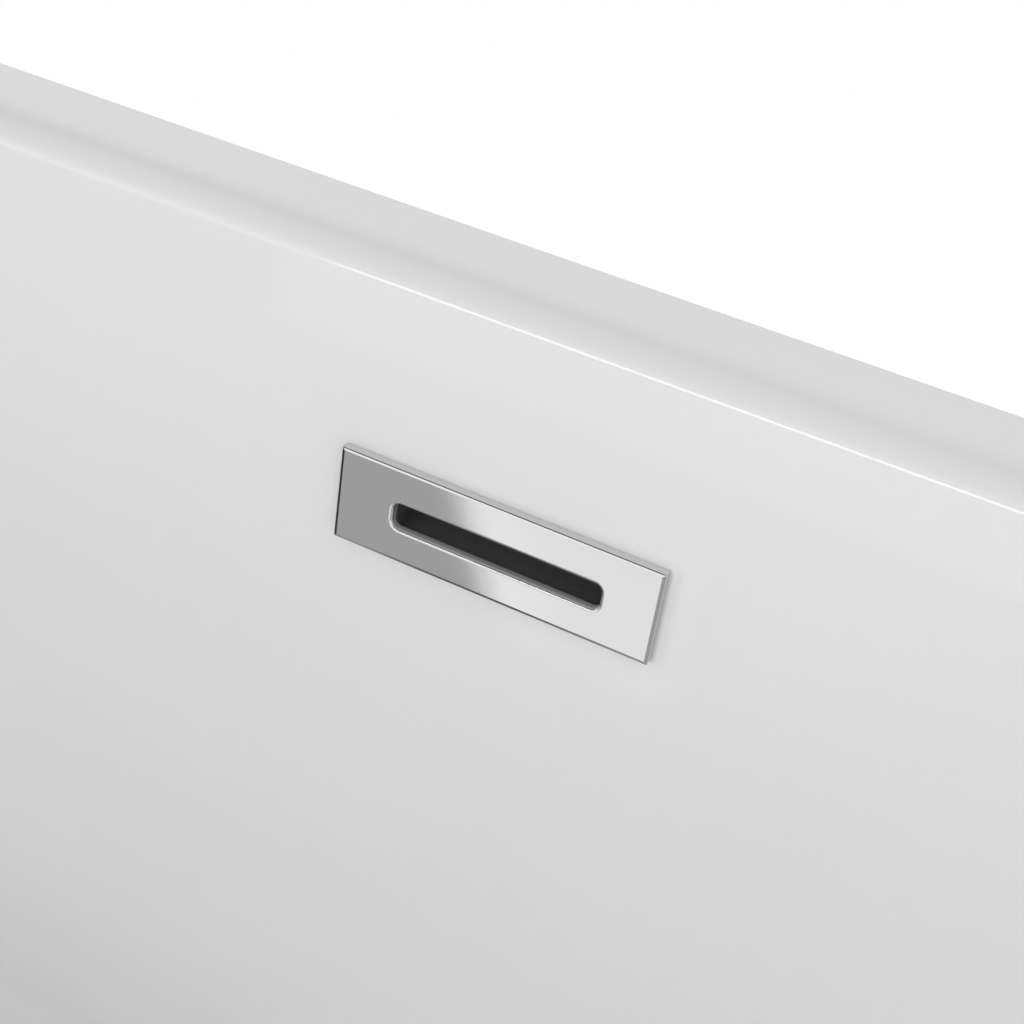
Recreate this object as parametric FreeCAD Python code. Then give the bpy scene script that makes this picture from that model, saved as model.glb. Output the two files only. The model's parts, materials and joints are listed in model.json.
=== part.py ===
"""Corner bathtub: a moulded acrylic shell with a slim rim, standing in a room's corner on adjustable feet.

X runs along the tub, Y across it and Z up. The origin is on the floor under the middle of the tub.
The back (+Y) and the left end (-X) stand against walls and are open below the rim. An apron closes the
front and the right end and runs round the free corner between them. Sizes are in millimetres.
"""

import FreeCAD, Part
import math
import os

Vector = FreeCAD.Vector

# Overall size
TUB_LENGTH = 1700.0
TUB_WIDTH = 800.0
TUB_HEIGHT = 610.0
FREE_CORNER_R = 320.0
WALL_CORNER_R = 15.0

# Moulded shell: acrylic sheet, backed with glass fibre
SHEET = 5.0
GLASSFIBRE = 3.0
RIM_WIDTH = 38.0
RIM_OUTER_R = 3.2
LIP_DROP = 38.0
ROLL_WIDTH = 12.0
ROLL_DROP = 2.0
RIM_EDGE_R = 2.4
BASIN_DEPTH = 450.0
SIDE_SLOPE = math.radians(14.0)
END_SLOPE = math.radians(26.0)
CORNER_TOP_R = 150.0
CORNER_FLOOR_R = 95.0
FREE_CORNER_FLOOR_R = 180.0
FLOOR_FILLET_R = 60.0

# Timber under the floor and under the rim
BOARD_THICK = 16.0
BOARD_MARGIN = 30.0
BOARD_CORNER_R = 60.0
BATTEN_WIDTH = 12.0
BATTEN_HEIGHT = 25.0
BATTEN_FROM_LIP = 10.0
BATTEN_END_GAP = 70.0

# Apron
APRON_THICK = 4.0
APRON_LIP_GAP = 1.5
APRON_TOP_GAP = 12.0
APRON_FLOOR_GAP = 12.0
APRON_FLANGE = 25.0
APRON_END_RETURN = 30.0

# Leg bars: folded steel channels, open below
BAR_WIDTH = 40.0
BAR_HEIGHT = 25.0
BAR_WALL = 2.0
BAR_BOARD_INSET = 50.0
MIDDLE_BAR_X = -150.0
BAR_END_BEYOND_FOOT = 40.0

# Adjustable feet
FOOT_FROM_SIDE = 115.0
STUD_R = 6.0
STUD_LENGTH = 178.0
STUD_EMBED = 8.0
STUD_TIP_CHAMFER = 1.0
PAD_R = 22.5
PAD_HEIGHT = 14.0
PAD_NECK_R = 12.0
PAD_NECK_HEIGHT = 6.0
PAD_EDGE_R = 2.0
NUT_ACROSS_FLATS = 18.0
NUT_HEIGHT = 10.0
NUT_CLEARANCE = 0.06
BAR_HOLE_CLEARANCE = 0.5

# Strip steel that holds the apron, and the hooks that hold the rim to the walls
STRIP_THICK = 2.5
STRIP_WIDTH = 30.0
STRIP_TAB = 22.0
STRIP_EDGE_GAP = 3.5
SIDE_STAY_YS = (0.0, 220.0)
CLIP_DROP = 30.0
CLIP_WIDTH = 40.0
FRONT_CLIP_XS = (-680.0, -230.0, 230.0)
RIGHT_CLIP_YS = (90.0, 270.0)
HOOK_WIDTH = 60.0
HOOK_TONGUE = 26.0
HOOK_PLATE = 55.0
HOOK_HOLE_R = 3.5
HOOK_HOLE_SPACING = 36.0
HOOK_HOLE_FROM_END = 20.0
HOOK_LIP_GAP = 0.3
BACK_HOOK_XS = (-560.0, 560.0)
LEFT_HOOK_YS = (0.0,)

# Overflow: cover plate, clamping insert, gasket and housing, square to the sloping back wall
OVERFLOW_X = 0.0
OVERFLOW_DROP = 80.8
PLATE_LENGTH = 120.0
PLATE_HEIGHT = 36.0
PLATE_DEPTH = 3.7
PLATE_SKIN = 2.2
PLATE_CHAMFER = 0.8
PLATE_WALL = 3.2
SLOT_LENGTH = 80.0
SLOT_HEIGHT = 12.4
SLOT_CORNER_R = 3.0
SLOT_EDGE_R = 0.7
INSERT_FIT = 0.2
INSERT_WALL = 1.6
INSERT_SLOT_MARGIN = 0.8
INSERT_REACH = 6.0
INSERT_HOLE_GAP = 0.5
INSERT_SCREW_FROM_END = 6.5
GASKET_THICK = 2.0
HOUSING_FLANGE_THICK = 3.0
HOUSING_DEPTH = 30.0
HOUSING_WALL = 2.5
HOUSING_DROP = 26.0
HOUSING_BOSS_R = 6.0
HOUSING_BOSS_LENGTH = 18.0

# Corrugated hose from the overflow to the waste, and its clamps
SPIGOT_R = 15.5
SPIGOT_WALL = 2.0
SPIGOT_LENGTH = 22.0
HOSE_BORE_R = 12.5
HOSE_WALL = 1.6
HOSE_RIB_HEIGHT = 2.4
HOSE_RIB_PITCH = 6.0
HOSE_CUFF = 24.0
HOSE_FIT = 0.2
HOSE_BEND_R = 70.0
CLAMP_WIDTH = 9.0
CLAMP_THICK = 1.0
CLAMP_FIT = 0.1
CLAMP_SCREW_R = 4.0
CLAMP_SCREW_LENGTH = 18.0
CLAMP_SCREW_SINK = 2.0

# Waste: flange, body, seals and press-to-open plug, on one upright axis
WASTE_X = 0.0
WASTE_FROM_FLOOR_EDGE = 103.424
WASTE_HOLE_R = 26.0
FLANGE_R = 36.0
FLANGE_THICK = 3.0
FLANGE_EDGE_R = 1.5
FLANGE_SEAL_THICK = 1.5
TAIL_R = 24.0
TAIL_WALL = 2.5
TAIL_LENGTH = 62.0
TAIL_FIT = 0.1
WINDOW_WIDTH = 16.0
WINDOW_HEIGHT = 12.0
SPIDER_ARMS = 3
SPIDER_ARM_WIDTH = 4.0
SPIDER_HEIGHT = 8.0
SPIDER_BELOW_FLANGE = 16.0
SPIDER_ARM_SINK = 1.2
HUB_WALL = 3.0
BODY_SEAL_THICK = 3.0
BODY_FLANGE_R = 42.0
BODY_FLANGE_THICK = 4.0
BODY_R = 34.0
BODY_WALL = 3.0
BODY_HEIGHT = 54.0
BODY_OUTLET_LENGTH = 24.0
INLET_BELOW_FLANGE = 34.0
BOARD_HOLE_GAP = 18.0
PLUG_R = 32.0
PLUG_THICK = 5.0
PLUG_CROWN = 1.2
PLUG_EDGE_R = 1.5
PLUG_SEAT_GAP = 0.3
PLUG_BOSS_R = 16.5
PLUG_BOSS_HEIGHT = 5.0
PLUG_SEAL_FIT = 0.4
PLUG_TRAVEL = 9.0
STEM_R = 4.0
STEM_FIT = 0.08
STEM_COLLAR_R = 6.0
STEM_COLLAR_HEIGHT = 2.5
CARTRIDGE_R = 8.0
CARTRIDGE_FIT = 0.05
CARTRIDGE_GUIDE = 14.0
CARTRIDGE_END = 2.5
SPRING_TURNS = 7
SPRING_WIRE_R = 0.5
SPRING_R = 5.3
SPRING_HEIGHT = 17.0
CHAMBER_GAP = 0.6

# Trap and outlet pipe
PIPE_R = 20.0
PIPE_WALL = 2.0
PIPE_FIT = 0.2
TRAP_BEND_R = 33.0
TRAP_LEG = 31.0
OUTLET_WALL_GAP = 15.0
OUTLET_SPIGOT = 45.0
OUTLET_BEAD_R = 22.5
OUTLET_BEAD_LENGTH = 4.0
PIPE_NUT_R = 27.0
PIPE_NUT_HEIGHT = 17.0
PIPE_NUT_RIBS = 12
PIPE_NUT_RIB_R = 2.2
PIPE_NUT_CHAMFER = 2.0

# Screws
SCREW_R = 2.25
SCREW_HEAD_R = 4.5
SCREW_HEAD_HEIGHT = 2.6
SCREW_HEAD_ROUND = 1.3
SCREW_FIT = 0.05
BOARD_SCREW_LENGTH = 14.0
STRIP_SCREW_LENGTH = 10.0
CLIP_SCREW_LENGTH = 16.0
INSERT_SCREW_R = 2.0
INSERT_SCREW_BITE = 9.0
BOARD_SCREW_OFFSET = 60.0

# Levels and places that follow from the sizes above
HALF_LENGTH = TUB_LENGTH / 2
HALF_WIDTH = TUB_WIDTH / 2
OPEN_HALF_X = HALF_LENGTH - RIM_WIDTH
OPEN_HALF_Y = HALF_WIDTH - RIM_WIDTH
RIM_UNDER_Z = TUB_HEIGHT - SHEET
LIP_Z = TUB_HEIGHT - LIP_DROP
ROLL_Z = TUB_HEIGHT - ROLL_DROP
FLOOR_Z = TUB_HEIGHT - BASIN_DEPTH
SKIN = SHEET + GLASSFIBRE
FLOOR_UNDER_Z = FLOOR_Z - SKIN
BOARD_Z = FLOOR_UNDER_Z - BOARD_THICK
BAR_Z = BOARD_Z - BAR_HEIGHT
WEB_UNDER_Z = BOARD_Z - BAR_WALL
FOOT_Y = HALF_WIDTH - FOOT_FROM_SIDE
BAR_HALF = FOOT_Y + BAR_END_BEYOND_FOOT
APRON_INSET = SHEET + APRON_LIP_GAP
APRON_INNER_INSET = APRON_INSET + APRON_THICK
APRON_TOP_Z = TUB_HEIGHT - APRON_TOP_GAP
APRON_FLANGE_Z = APRON_FLOOR_GAP + APRON_THICK
BATTEN_INSET = SHEET + BATTEN_FROM_LIP
BATTEN_Z = RIM_UNDER_Z - BATTEN_HEIGHT


def floor_flat_half(open_half, slope):
    """Half the flat stretch under the floor, clear of the rounded edge."""
    drop = ROLL_Z - FLOOR_UNDER_Z
    edge = (FLOOR_FILLET_R + SKIN) * math.tan((math.pi / 2 - slope) / 2)
    return open_half - drop * math.tan(slope) + SKIN / math.cos(slope) - edge


FLOOR_HALF_X = floor_flat_half(OPEN_HALF_X, END_SLOPE)
FLOOR_HALF_Y = floor_flat_half(OPEN_HALF_Y, SIDE_SLOPE)
BOARD_HALF_X = FLOOR_HALF_X - BOARD_MARGIN
BOARD_HALF_Y = FLOOR_HALF_Y - BOARD_MARGIN
WASTE_Y = FLOOR_HALF_Y - WASTE_FROM_FLOOR_EDGE

UP = Vector(0, 0, 1)
DOWN = Vector(0, 0, -1)


# Plain helpers

def box(x0, x1, y0, y1, z0, z1):
    return Part.makeBox(x1 - x0, y1 - y0, z1 - z0, Vector(x0, y0, z0))


def rod(radius, start, direction, length):
    return Part.makeCylinder(radius, length, start, direction)


def pipe_piece(outer, inner, start, direction, length):
    return rod(outer, start, direction, length).cut(rod(inner, start, direction, length))


def ring(outer, inner, z0, z1):
    """A ring round the waste's axis."""
    base = Vector(WASTE_X, WASTE_Y, z0)
    return pipe_piece(outer, inner, base, UP, z1 - z0)


def turned(points):
    """A solid of revolution round the waste's axis, from (radius, z) points of straight sides."""
    corners = [Vector(WASTE_X + r, WASTE_Y, z) for r, z in points]
    face = Part.Face(Part.makePolygon(corners + corners[:1]))
    return face.revolve(Vector(WASTE_X, WASTE_Y, 0), UP, 360)


def level_edges(shape, z):
    """The edges of a shape that lie at one height."""
    level = []
    for edge in shape.Edges:
        bounds = edge.BoundBox
        if abs(bounds.ZMin - z) < 1e-4 and abs(bounds.ZMax - z) < 1e-4:
            level.append(edge)
    return level


def round_rectangle(x0, x1, y0, y1, z, radii):
    """A closed outline with the corner radii in the order front left, front right, back right, back left."""
    corners = [(x0, y0, 180), (x1, y0, 270), (x1, y1, 0), (x0, y1, 90)]
    arcs = []
    for (x, y, start), radius in zip(corners, radii):
        cx = x + radius if x == x0 else x - radius
        cy = y + radius if y == y0 else y - radius
        circle = Part.Circle(Vector(cx, cy, z), UP, radius)
        arc = Part.ArcOfCircle(circle, math.radians(start), math.radians(start + 90))
        arcs.append(arc.toShape())
    edges = []
    for arc, following in zip(arcs, arcs[1:] + arcs[:1]):
        edges.append(arc)
        edges.append(Part.makeLine(arc.Vertexes[-1].Point, following.Vertexes[0].Point))
    return Part.Wire(edges)


def outline(inset, z):
    """The tub's plan outline, drawn in by a distance."""
    wall_r = max(WALL_CORNER_R - inset, WALL_CORNER_R / 4)
    radii = (wall_r, FREE_CORNER_R - inset, wall_r, wall_r)
    x, y = HALF_LENGTH - inset, HALF_WIDTH - inset
    return round_rectangle(-x, x, -y, y, z, radii)


def outline_block(inset, z0, z1):
    return Part.Face(outline(inset, z0)).extrude(Vector(0, 0, z1 - z0))


def basin_outline(z, grow=0.0, level_grow=0.0):
    """The basin's inner outline at a height, its walls moved out square to themselves or level."""
    drop = ROLL_Z - z
    share = drop / (ROLL_Z - FLOOR_Z)
    x = OPEN_HALF_X - drop * math.tan(END_SLOPE) + grow / math.cos(END_SLOPE) + level_grow
    y = OPEN_HALF_Y - drop * math.tan(SIDE_SLOPE) + grow / math.cos(SIDE_SLOPE) + level_grow
    corner = CORNER_TOP_R + share * (CORNER_FLOOR_R - CORNER_TOP_R) + grow + level_grow
    free_top = FREE_CORNER_R - RIM_WIDTH
    free = free_top + share * (FREE_CORNER_FLOOR_R - free_top) + grow + level_grow
    return round_rectangle(-x, x, -y, y, z, (corner, free, corner, corner))


def tapered_block(lower, upper):
    """A solid between two outlines of the same make: flat walls, and corners ruled from arc to arc."""
    floor = Part.Face(lower)
    floor.reverse()
    faces = [floor, Part.Face(upper)]
    for low, high in zip(lower.Edges, upper.Edges):
        if low.Curve.TypeId == "Part::GeomLine":
            corners = [v.Point for v in low.Vertexes] + [v.Point for v in reversed(high.Vertexes)]
            faces.append(Part.Face(Part.makePolygon(corners + corners[:1])))
        else:
            faces.append(Part.makeRuledSurface(low, high))
    shell = Part.makeShell(faces)
    shell.sewShape()
    return Part.makeSolid(shell)


def basin_block(grow, top):
    """The basin's hollow as a solid, its walls and floor moved out by a distance, its floor edge rounded."""
    floor = FLOOR_Z - grow
    block = tapered_block(basin_outline(floor, grow), basin_outline(top, grow))
    return block.makeFillet(FLOOR_FILLET_R + grow, level_edges(block, floor))


def back_wall_y(z):
    """The back wall's inner face at a height."""
    return OPEN_HALF_Y - (ROLL_Z - z) * math.tan(SIDE_SLOPE)


def overflow_placement():
    """The place of pieces drawn square to the back wall: X along it, Y out through it, Z up it."""
    z = ROLL_Z - OVERFLOW_DROP * math.cos(SIDE_SLOPE)
    turn = FreeCAD.Rotation(Vector(1, 0, 0), -math.degrees(SIDE_SLOPE))
    return FreeCAD.Placement(Vector(OVERFLOW_X, back_wall_y(z), z), turn)


def on_wall(shape):
    return placed(shape, overflow_placement())


def placed(shape, placement):
    moved = shape.copy()
    moved.Placement = placement.multiply(moved.Placement)
    return moved


def slot_block(length, height, radius, y0, y1):
    """An upright block with rounded ends, drawn round the overflow's own origin."""
    wire = round_rectangle(-length / 2, length / 2, -height / 2, height / 2, 0, (radius,) * 4)
    wire.rotate(Vector(0, 0, 0), Vector(1, 0, 0), 90)
    wire.translate(Vector(0, y0, 0))
    return Part.Face(wire).extrude(Vector(0, y1 - y0, 0))


def screw(seat, direction, length, radius=SCREW_R):
    """A round-head screw whose head bears on a seat and whose shank runs along a direction."""
    head_start = seat - direction * SCREW_HEAD_HEIGHT
    head = rod(SCREW_HEAD_R, head_start, direction, SCREW_HEAD_HEIGHT)
    crown = [e for e in head.Edges if e.Curve.TypeId == "Part::GeomCircle"]
    far = min(crown, key=lambda e: (e.CenterOfMass - head_start).Length)
    head = head.makeFillet(SCREW_HEAD_ROUND, [far])
    return head.fuse(rod(radius, seat, direction, length))


def screw_hole(seat, direction, length, radius=SCREW_R):
    """The hole that a screw of the same seat and length runs in, with the seat's side open."""
    reach = SCREW_FIT + length
    return rod(radius + SCREW_FIT, seat - direction * SCREW_FIT, direction, reach + SCREW_FIT)


def pierce(shape, holes):
    for hole in holes:
        shape = shape.cut(hole)
    return shape


# Shell, backing and timber

def shell_holes():
    """What is cut through the finished shell: the overflow's mouth, its two screws and the waste."""
    length, height = insert_tube_size()
    gap = 2 * INSERT_HOLE_GAP
    reach = SKIN + PLATE_DEPTH
    through = Vector(0, 1, 0)
    holes = [on_wall(slot_block(length + gap, height + gap, SLOT_CORNER_R, -reach, 2 * reach))]
    for x in insert_screw_xs():
        holes.append(on_wall(rod(INSERT_SCREW_R + INSERT_HOLE_GAP, Vector(x, -reach, 0), through, 3 * reach)))
    holes.append(rod(WASTE_HOLE_R, Vector(WASTE_X, WASTE_Y, FLOOR_UNDER_Z - SKIN), UP, 3 * SKIN))
    return holes


def basin_cutter():
    """The hollow that is cut out of the shell: the basin, and above it the roll down from the rim."""
    roll_foot = basin_outline(ROLL_Z)
    roll_head = basin_outline(ROLL_Z, 0.0, 2 * ROLL_WIDTH)
    roll_head.translate(Vector(0, 0, 2 * ROLL_DROP))
    cutter = basin_block(0.0, ROLL_Z).fuse(tapered_block(roll_foot, roll_head))
    return cutter.makeFillet(RIM_EDGE_R, level_edges(cutter, ROLL_Z))


def make_tub_shell():
    rim = outline_block(0, LIP_Z, TUB_HEIGHT)
    rim = rim.makeFillet(RIM_OUTER_R, level_edges(rim, TUB_HEIGHT))
    rim = rim.cut(outline_block(SHEET, LIP_Z - SHEET, RIM_UNDER_Z))
    shell = rim.fuse(basin_block(SHEET, TUB_HEIGHT - SHEET / 2))
    return pierce(shell.cut(basin_cutter()), shell_holes())


def make_glassfibre_backing():
    backing = basin_block(SKIN, RIM_UNDER_Z).cut(basin_block(SHEET, TUB_HEIGHT - SHEET / 2))
    return pierce(backing, shell_holes())


def make_base_board():
    x, y = BOARD_HALF_X, BOARD_HALF_Y
    wire = round_rectangle(-x, x, -y, y, BOARD_Z, (BOARD_CORNER_R,) * 4)
    board = Part.Face(wire).extrude(Vector(0, 0, BOARD_THICK))
    radius = BODY_FLANGE_R + BOARD_HOLE_GAP
    board = board.cut(rod(radius, Vector(WASTE_X, WASTE_Y, BOARD_Z), UP, BOARD_THICK))
    return pierce(board, [screw_hole(s, UP, BOARD_SCREW_LENGTH) for s in board_screw_seats()])


def batten_span(half, far_corner_r):
    """Where a batten starts and ends along its side, clear of the corners."""
    return -half + BATTEN_END_GAP, half - max(far_corner_r, BATTEN_END_GAP)


def make_battens():
    inner, outer = BATTEN_INSET + BATTEN_WIDTH, BATTEN_INSET
    left, front_end = batten_span(HALF_LENGTH, FREE_CORNER_R + BATTEN_END_GAP)
    right_start = -HALF_WIDTH + FREE_CORNER_R + BATTEN_END_GAP
    x_end, y_end = HALF_LENGTH - BATTEN_END_GAP, HALF_WIDTH - BATTEN_END_GAP
    z0, z1 = BATTEN_Z, RIM_UNDER_Z
    front = box(left, front_end, -HALF_WIDTH + outer, -HALF_WIDTH + inner, z0, z1)
    right = box(HALF_LENGTH - inner, HALF_LENGTH - outer, right_start, y_end, z0, z1)
    back = box(left, x_end, HALF_WIDTH - inner, HALF_WIDTH - outer, z0, z1)
    left_end = box(-HALF_LENGTH + outer, -HALF_LENGTH + inner, -y_end, y_end, z0, z1)
    holes = [screw_hole(s, UP, CLIP_SCREW_LENGTH) for s in clip_screw_seats()]
    return {
        "rim_batten_front": pierce(front, holes),
        "rim_batten_right": pierce(right, holes),
        "rim_batten_back": back,
        "rim_batten_left": left_end,
    }


# Apron and what holds it

def make_apron_panel():
    wall = outline_block(APRON_INSET, APRON_FLOOR_GAP, APRON_TOP_Z)
    wall = wall.cut(outline_block(APRON_INNER_INSET, APRON_FLOOR_GAP, APRON_TOP_Z))
    flange = outline_block(APRON_INSET, APRON_FLOOR_GAP, APRON_FLANGE_Z)
    inner = APRON_INNER_INSET + APRON_FLANGE
    flange = flange.cut(outline_block(inner, APRON_FLOOR_GAP, APRON_FLANGE_Z))
    panel = wall.fuse(flange)
    keep_x, keep_y = HALF_LENGTH - APRON_INSET - APRON_END_RETURN, HALF_WIDTH - APRON_INSET - APRON_END_RETURN
    open_side = inner + WALL_CORNER_R
    back_cut = box(-HALF_LENGTH, keep_x, HALF_WIDTH - open_side, HALF_WIDTH, 0, TUB_HEIGHT)
    left_cut = box(-HALF_LENGTH, -HALF_LENGTH + open_side, -keep_y, HALF_WIDTH, 0, TUB_HEIGHT)
    panel = panel.cut(back_cut).cut(left_cut).removeSplitter()
    return pierce(panel, [screw_hole(s, d, n) for s, d, n in strip_screws()])


def bent_strip(points, width, along):
    """A folded steel strip from the corners of its edge view, carried along its width."""
    face = Part.Face(Part.makePolygon(points + points[:1]))
    return face.extrude(along * width)


def strip_reach():
    """How far from the tub's outer face a strip stands: its upright's two faces and its toe."""
    upright = APRON_INNER_INSET + APRON_FLANGE - STRIP_EDGE_GAP
    return upright - STRIP_THICK, upright, APRON_INNER_INSET + STRIP_EDGE_GAP


def make_apron_brackets():
    """Folded strips from the front end of each leg bar down to the apron's bottom flange."""
    outer, inner, toe = (-HALF_WIDTH + d for d in strip_reach())
    tab = -BAR_HALF + STRIP_TAB
    z0, z1, t = APRON_FLANGE_Z, WEB_UNDER_Z, STRIP_THICK
    profile = [(tab, z1), (outer, z1), (outer, z0 + t), (toe, z0 + t),
               (toe, z0), (inner, z0), (inner, z1 - t), (tab, z1 - t)]
    brackets = []
    for x in bar_xs():
        points = [Vector(x - STRIP_WIDTH / 2, y, z) for y, z in profile]
        brackets.append(bent_strip(points, STRIP_WIDTH, Vector(1, 0, 0)))
    holes = [screw_hole(s, d, n) for s, d, n in strip_screws()]
    return Part.makeCompound([pierce(b, holes) for b in brackets])


def make_apron_side_stays():
    """Folded strips from the right leg bar out to the apron's bottom flange at the right end."""
    outer, inner, toe = (HALF_LENGTH - d for d in strip_reach())
    start = bar_xs()[-1] + BAR_WIDTH / 2
    z0, low, high, t = APRON_FLANGE_Z, BAR_Z, WEB_UNDER_Z, STRIP_THICK
    profile = [(start, high), (start, low), (inner, low), (inner, z0), (toe, z0),
               (toe, z0 + t), (outer, z0 + t), (outer, low + t), (start + t, low + t), (start + t, high)]
    stays = []
    for y in SIDE_STAY_YS:
        points = [Vector(x, y - STRIP_WIDTH / 2, z) for x, z in profile]
        stays.append(bent_strip(points, STRIP_WIDTH, Vector(0, 1, 0)))
    holes = [screw_hole(s, d, n) for s, d, n in strip_screws()]
    return Part.makeCompound([pierce(s, holes) for s in stays])


def strip_screws():
    """Seat, direction and length of each screw through the brackets and stays."""
    screws = []
    toe_inset = (strip_reach()[0] + strip_reach()[2]) / 2
    toe_z = APRON_FLANGE_Z + STRIP_THICK
    for x in bar_xs():
        screws.append((Vector(x, -BAR_HALF + STRIP_TAB / 2, BOARD_Z), DOWN, STRIP_SCREW_LENGTH))
        screws.append((Vector(x, -HALF_WIDTH + toe_inset, toe_z), DOWN, STRIP_SCREW_LENGTH))
    stay_x = bar_xs()[-1] + BAR_WIDTH / 2 + STRIP_THICK
    stay_z = (BAR_Z + STRIP_THICK + WEB_UNDER_Z) / 2
    for y in SIDE_STAY_YS:
        screws.append((Vector(stay_x, y, stay_z), Vector(-1, 0, 0), STRIP_SCREW_LENGTH))
        screws.append((Vector(HALF_LENGTH - toe_inset, y, toe_z), DOWN, STRIP_SCREW_LENGTH))
    return screws


def make_apron_screws():
    return Part.makeCompound([screw(s, d, n) for s, d, n in strip_screws()])


def clip_inset():
    """How far in from the tub's outer face a clip's screw stands: the middle of the batten."""
    return BATTEN_INSET + BATTEN_WIDTH / 2


def clip_screw_seats():
    z = BATTEN_Z - STRIP_THICK
    seats = [Vector(x, -HALF_WIDTH + clip_inset(), z) for x in FRONT_CLIP_XS]
    return seats + [Vector(HALF_LENGTH - clip_inset(), y, z) for y in RIGHT_CLIP_YS]


def make_apron_clips():
    """Angle clips that tie the apron's top edge to the battens under the rim."""
    t = STRIP_THICK
    near, far = APRON_INNER_INSET, BATTEN_INSET + BATTEN_WIDTH
    high, low = BATTEN_Z, BATTEN_Z - CLIP_DROP
    profile = [(near, low), (near, high), (far, high), (far, high - t), (near + t, high - t), (near + t, low)]
    clips = []
    for x in FRONT_CLIP_XS:
        points = [Vector(x - CLIP_WIDTH / 2, -HALF_WIDTH + d, z) for d, z in profile]
        clips.append(bent_strip(points, CLIP_WIDTH, Vector(1, 0, 0)))
    for y in RIGHT_CLIP_YS:
        points = [Vector(HALF_LENGTH - d, y - CLIP_WIDTH / 2, z) for d, z in profile]
        clips.append(bent_strip(points, CLIP_WIDTH, Vector(0, 1, 0)))
    holes = [screw_hole(s, UP, CLIP_SCREW_LENGTH) for s in clip_screw_seats()]
    return Part.makeCompound([pierce(c, holes) for c in clips])


def make_clip_screws():
    return Part.makeCompound([screw(s, UP, CLIP_SCREW_LENGTH) for s in clip_screw_seats()])


def hook_profile():
    """Edge view of a wall hook as (inset from the wall, z): plate, step under the lip, tongue."""
    t = STRIP_THICK
    back = SHEET + HOOK_LIP_GAP
    low, step = LIP_Z - t - HOOK_PLATE, LIP_Z - t
    return [(0, low), (0, LIP_Z), (back, LIP_Z), (back, LIP_Z + HOOK_TONGUE), (back + t, LIP_Z + HOOK_TONGUE),
            (back + t, step), (t, step), (t, low)]


def hook_hole_z():
    return LIP_Z - STRIP_THICK - HOOK_PLATE + HOOK_HOLE_FROM_END


def wall_hook(corner, along, out):
    """One hook: its edge view stands at a corner of the wall plane and is carried along the wall."""
    points = [corner - out * d + UP * z for d, z in hook_profile()]
    hook = bent_strip(points, HOOK_WIDTH, along)
    middle = corner + along * (HOOK_WIDTH / 2) + UP * hook_hole_z() - out * (2 * STRIP_THICK)
    offsets = (-HOOK_HOLE_SPACING / 2, HOOK_HOLE_SPACING / 2)
    return pierce(hook, [rod(HOOK_HOLE_R, middle + along * o, out, 3 * STRIP_THICK) for o in offsets])


def make_wall_hooks():
    """Folded plates that screw to the walls. The rim's lip stands on each step, in front of the tongue."""
    x_axis, y_axis = Vector(1, 0, 0), Vector(0, 1, 0)
    half = HOOK_WIDTH / 2
    back = [wall_hook(Vector(x - half, HALF_WIDTH, 0), x_axis, y_axis) for x in BACK_HOOK_XS]
    left = [wall_hook(Vector(-HALF_LENGTH, y - half, 0), y_axis, -x_axis) for y in LEFT_HOOK_YS]
    return {"wall_hooks_back": Part.makeCompound(back), "wall_hook_left": Part.makeCompound(left)}


# Leg bars and feet

def bar_xs():
    end = BOARD_HALF_X - BAR_BOARD_INSET
    return (-end, MIDDLE_BAR_X, end)


def board_screw_seats():
    """Where the screws that hold the bars to the board bear, under each bar's web."""
    return [Vector(x, y, WEB_UNDER_Z) for x in bar_xs() for y in (-BOARD_SCREW_OFFSET, BOARD_SCREW_OFFSET)]


def make_leg_bars():
    bars = {}
    for name, x in zip(("left", "middle", "right"), bar_xs()):
        half = BAR_WIDTH / 2
        bar = box(x - half, x + half, -BAR_HALF, BAR_HALF, BAR_Z, BOARD_Z)
        folds = [e for e in level_edges(bar, BOARD_Z) if abs(e.BoundBox.XLength) < 1e-6]
        bar = bar.makeFillet(BAR_WALL, folds)
        inner = half - BAR_WALL
        bar = bar.cut(box(x - inner, x + inner, -BAR_HALF, BAR_HALF, BAR_Z, WEB_UNDER_Z))
        stud_hole_r = STUD_R + BAR_HOLE_CLEARANCE
        holes = [rod(stud_hole_r, Vector(x, y, WEB_UNDER_Z), UP, BAR_WALL) for y in (-FOOT_Y, FOOT_Y)]
        holes += [screw_hole(s, UP, BOARD_SCREW_LENGTH) for s in board_screw_seats()]
        holes += [screw_hole(s, d, n) for s, d, n in strip_screws()]
        bars["leg_bar_" + name] = pierce(bar, holes)
    return bars


def make_leg_bar_screws():
    return Part.makeCompound([screw(s, UP, BOARD_SCREW_LENGTH) for s in board_screw_seats()])


def foot_places():
    """Each foot's name and place on the floor."""
    places = {}
    for bar, x in zip(("left", "middle", "right"), bar_xs()):
        places["front_" + bar] = (x, -FOOT_Y)
        places["back_" + bar] = (x, FOOT_Y)
    return places


def hex_nut(x, y, z):
    corner = NUT_ACROSS_FLATS / math.sqrt(3)
    angles = [math.radians(60 * i) for i in range(7)]
    points = [Vector(x + corner * math.cos(a), y + corner * math.sin(a), z) for a in angles]
    nut = Part.Face(Part.makePolygon(points)).extrude(Vector(0, 0, NUT_HEIGHT))
    return nut.cut(rod(STUD_R + NUT_CLEARANCE, Vector(x, y, z), UP, NUT_HEIGHT))


def make_foot_nuts():
    """Two lock nuts on each foot's stud, one above and one below the bar's web."""
    nuts = []
    for x, y in foot_places().values():
        nuts.append(hex_nut(x, y, BOARD_Z))
        nuts.append(hex_nut(x, y, WEB_UNDER_Z - NUT_HEIGHT))
    return Part.makeCompound(nuts)


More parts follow.
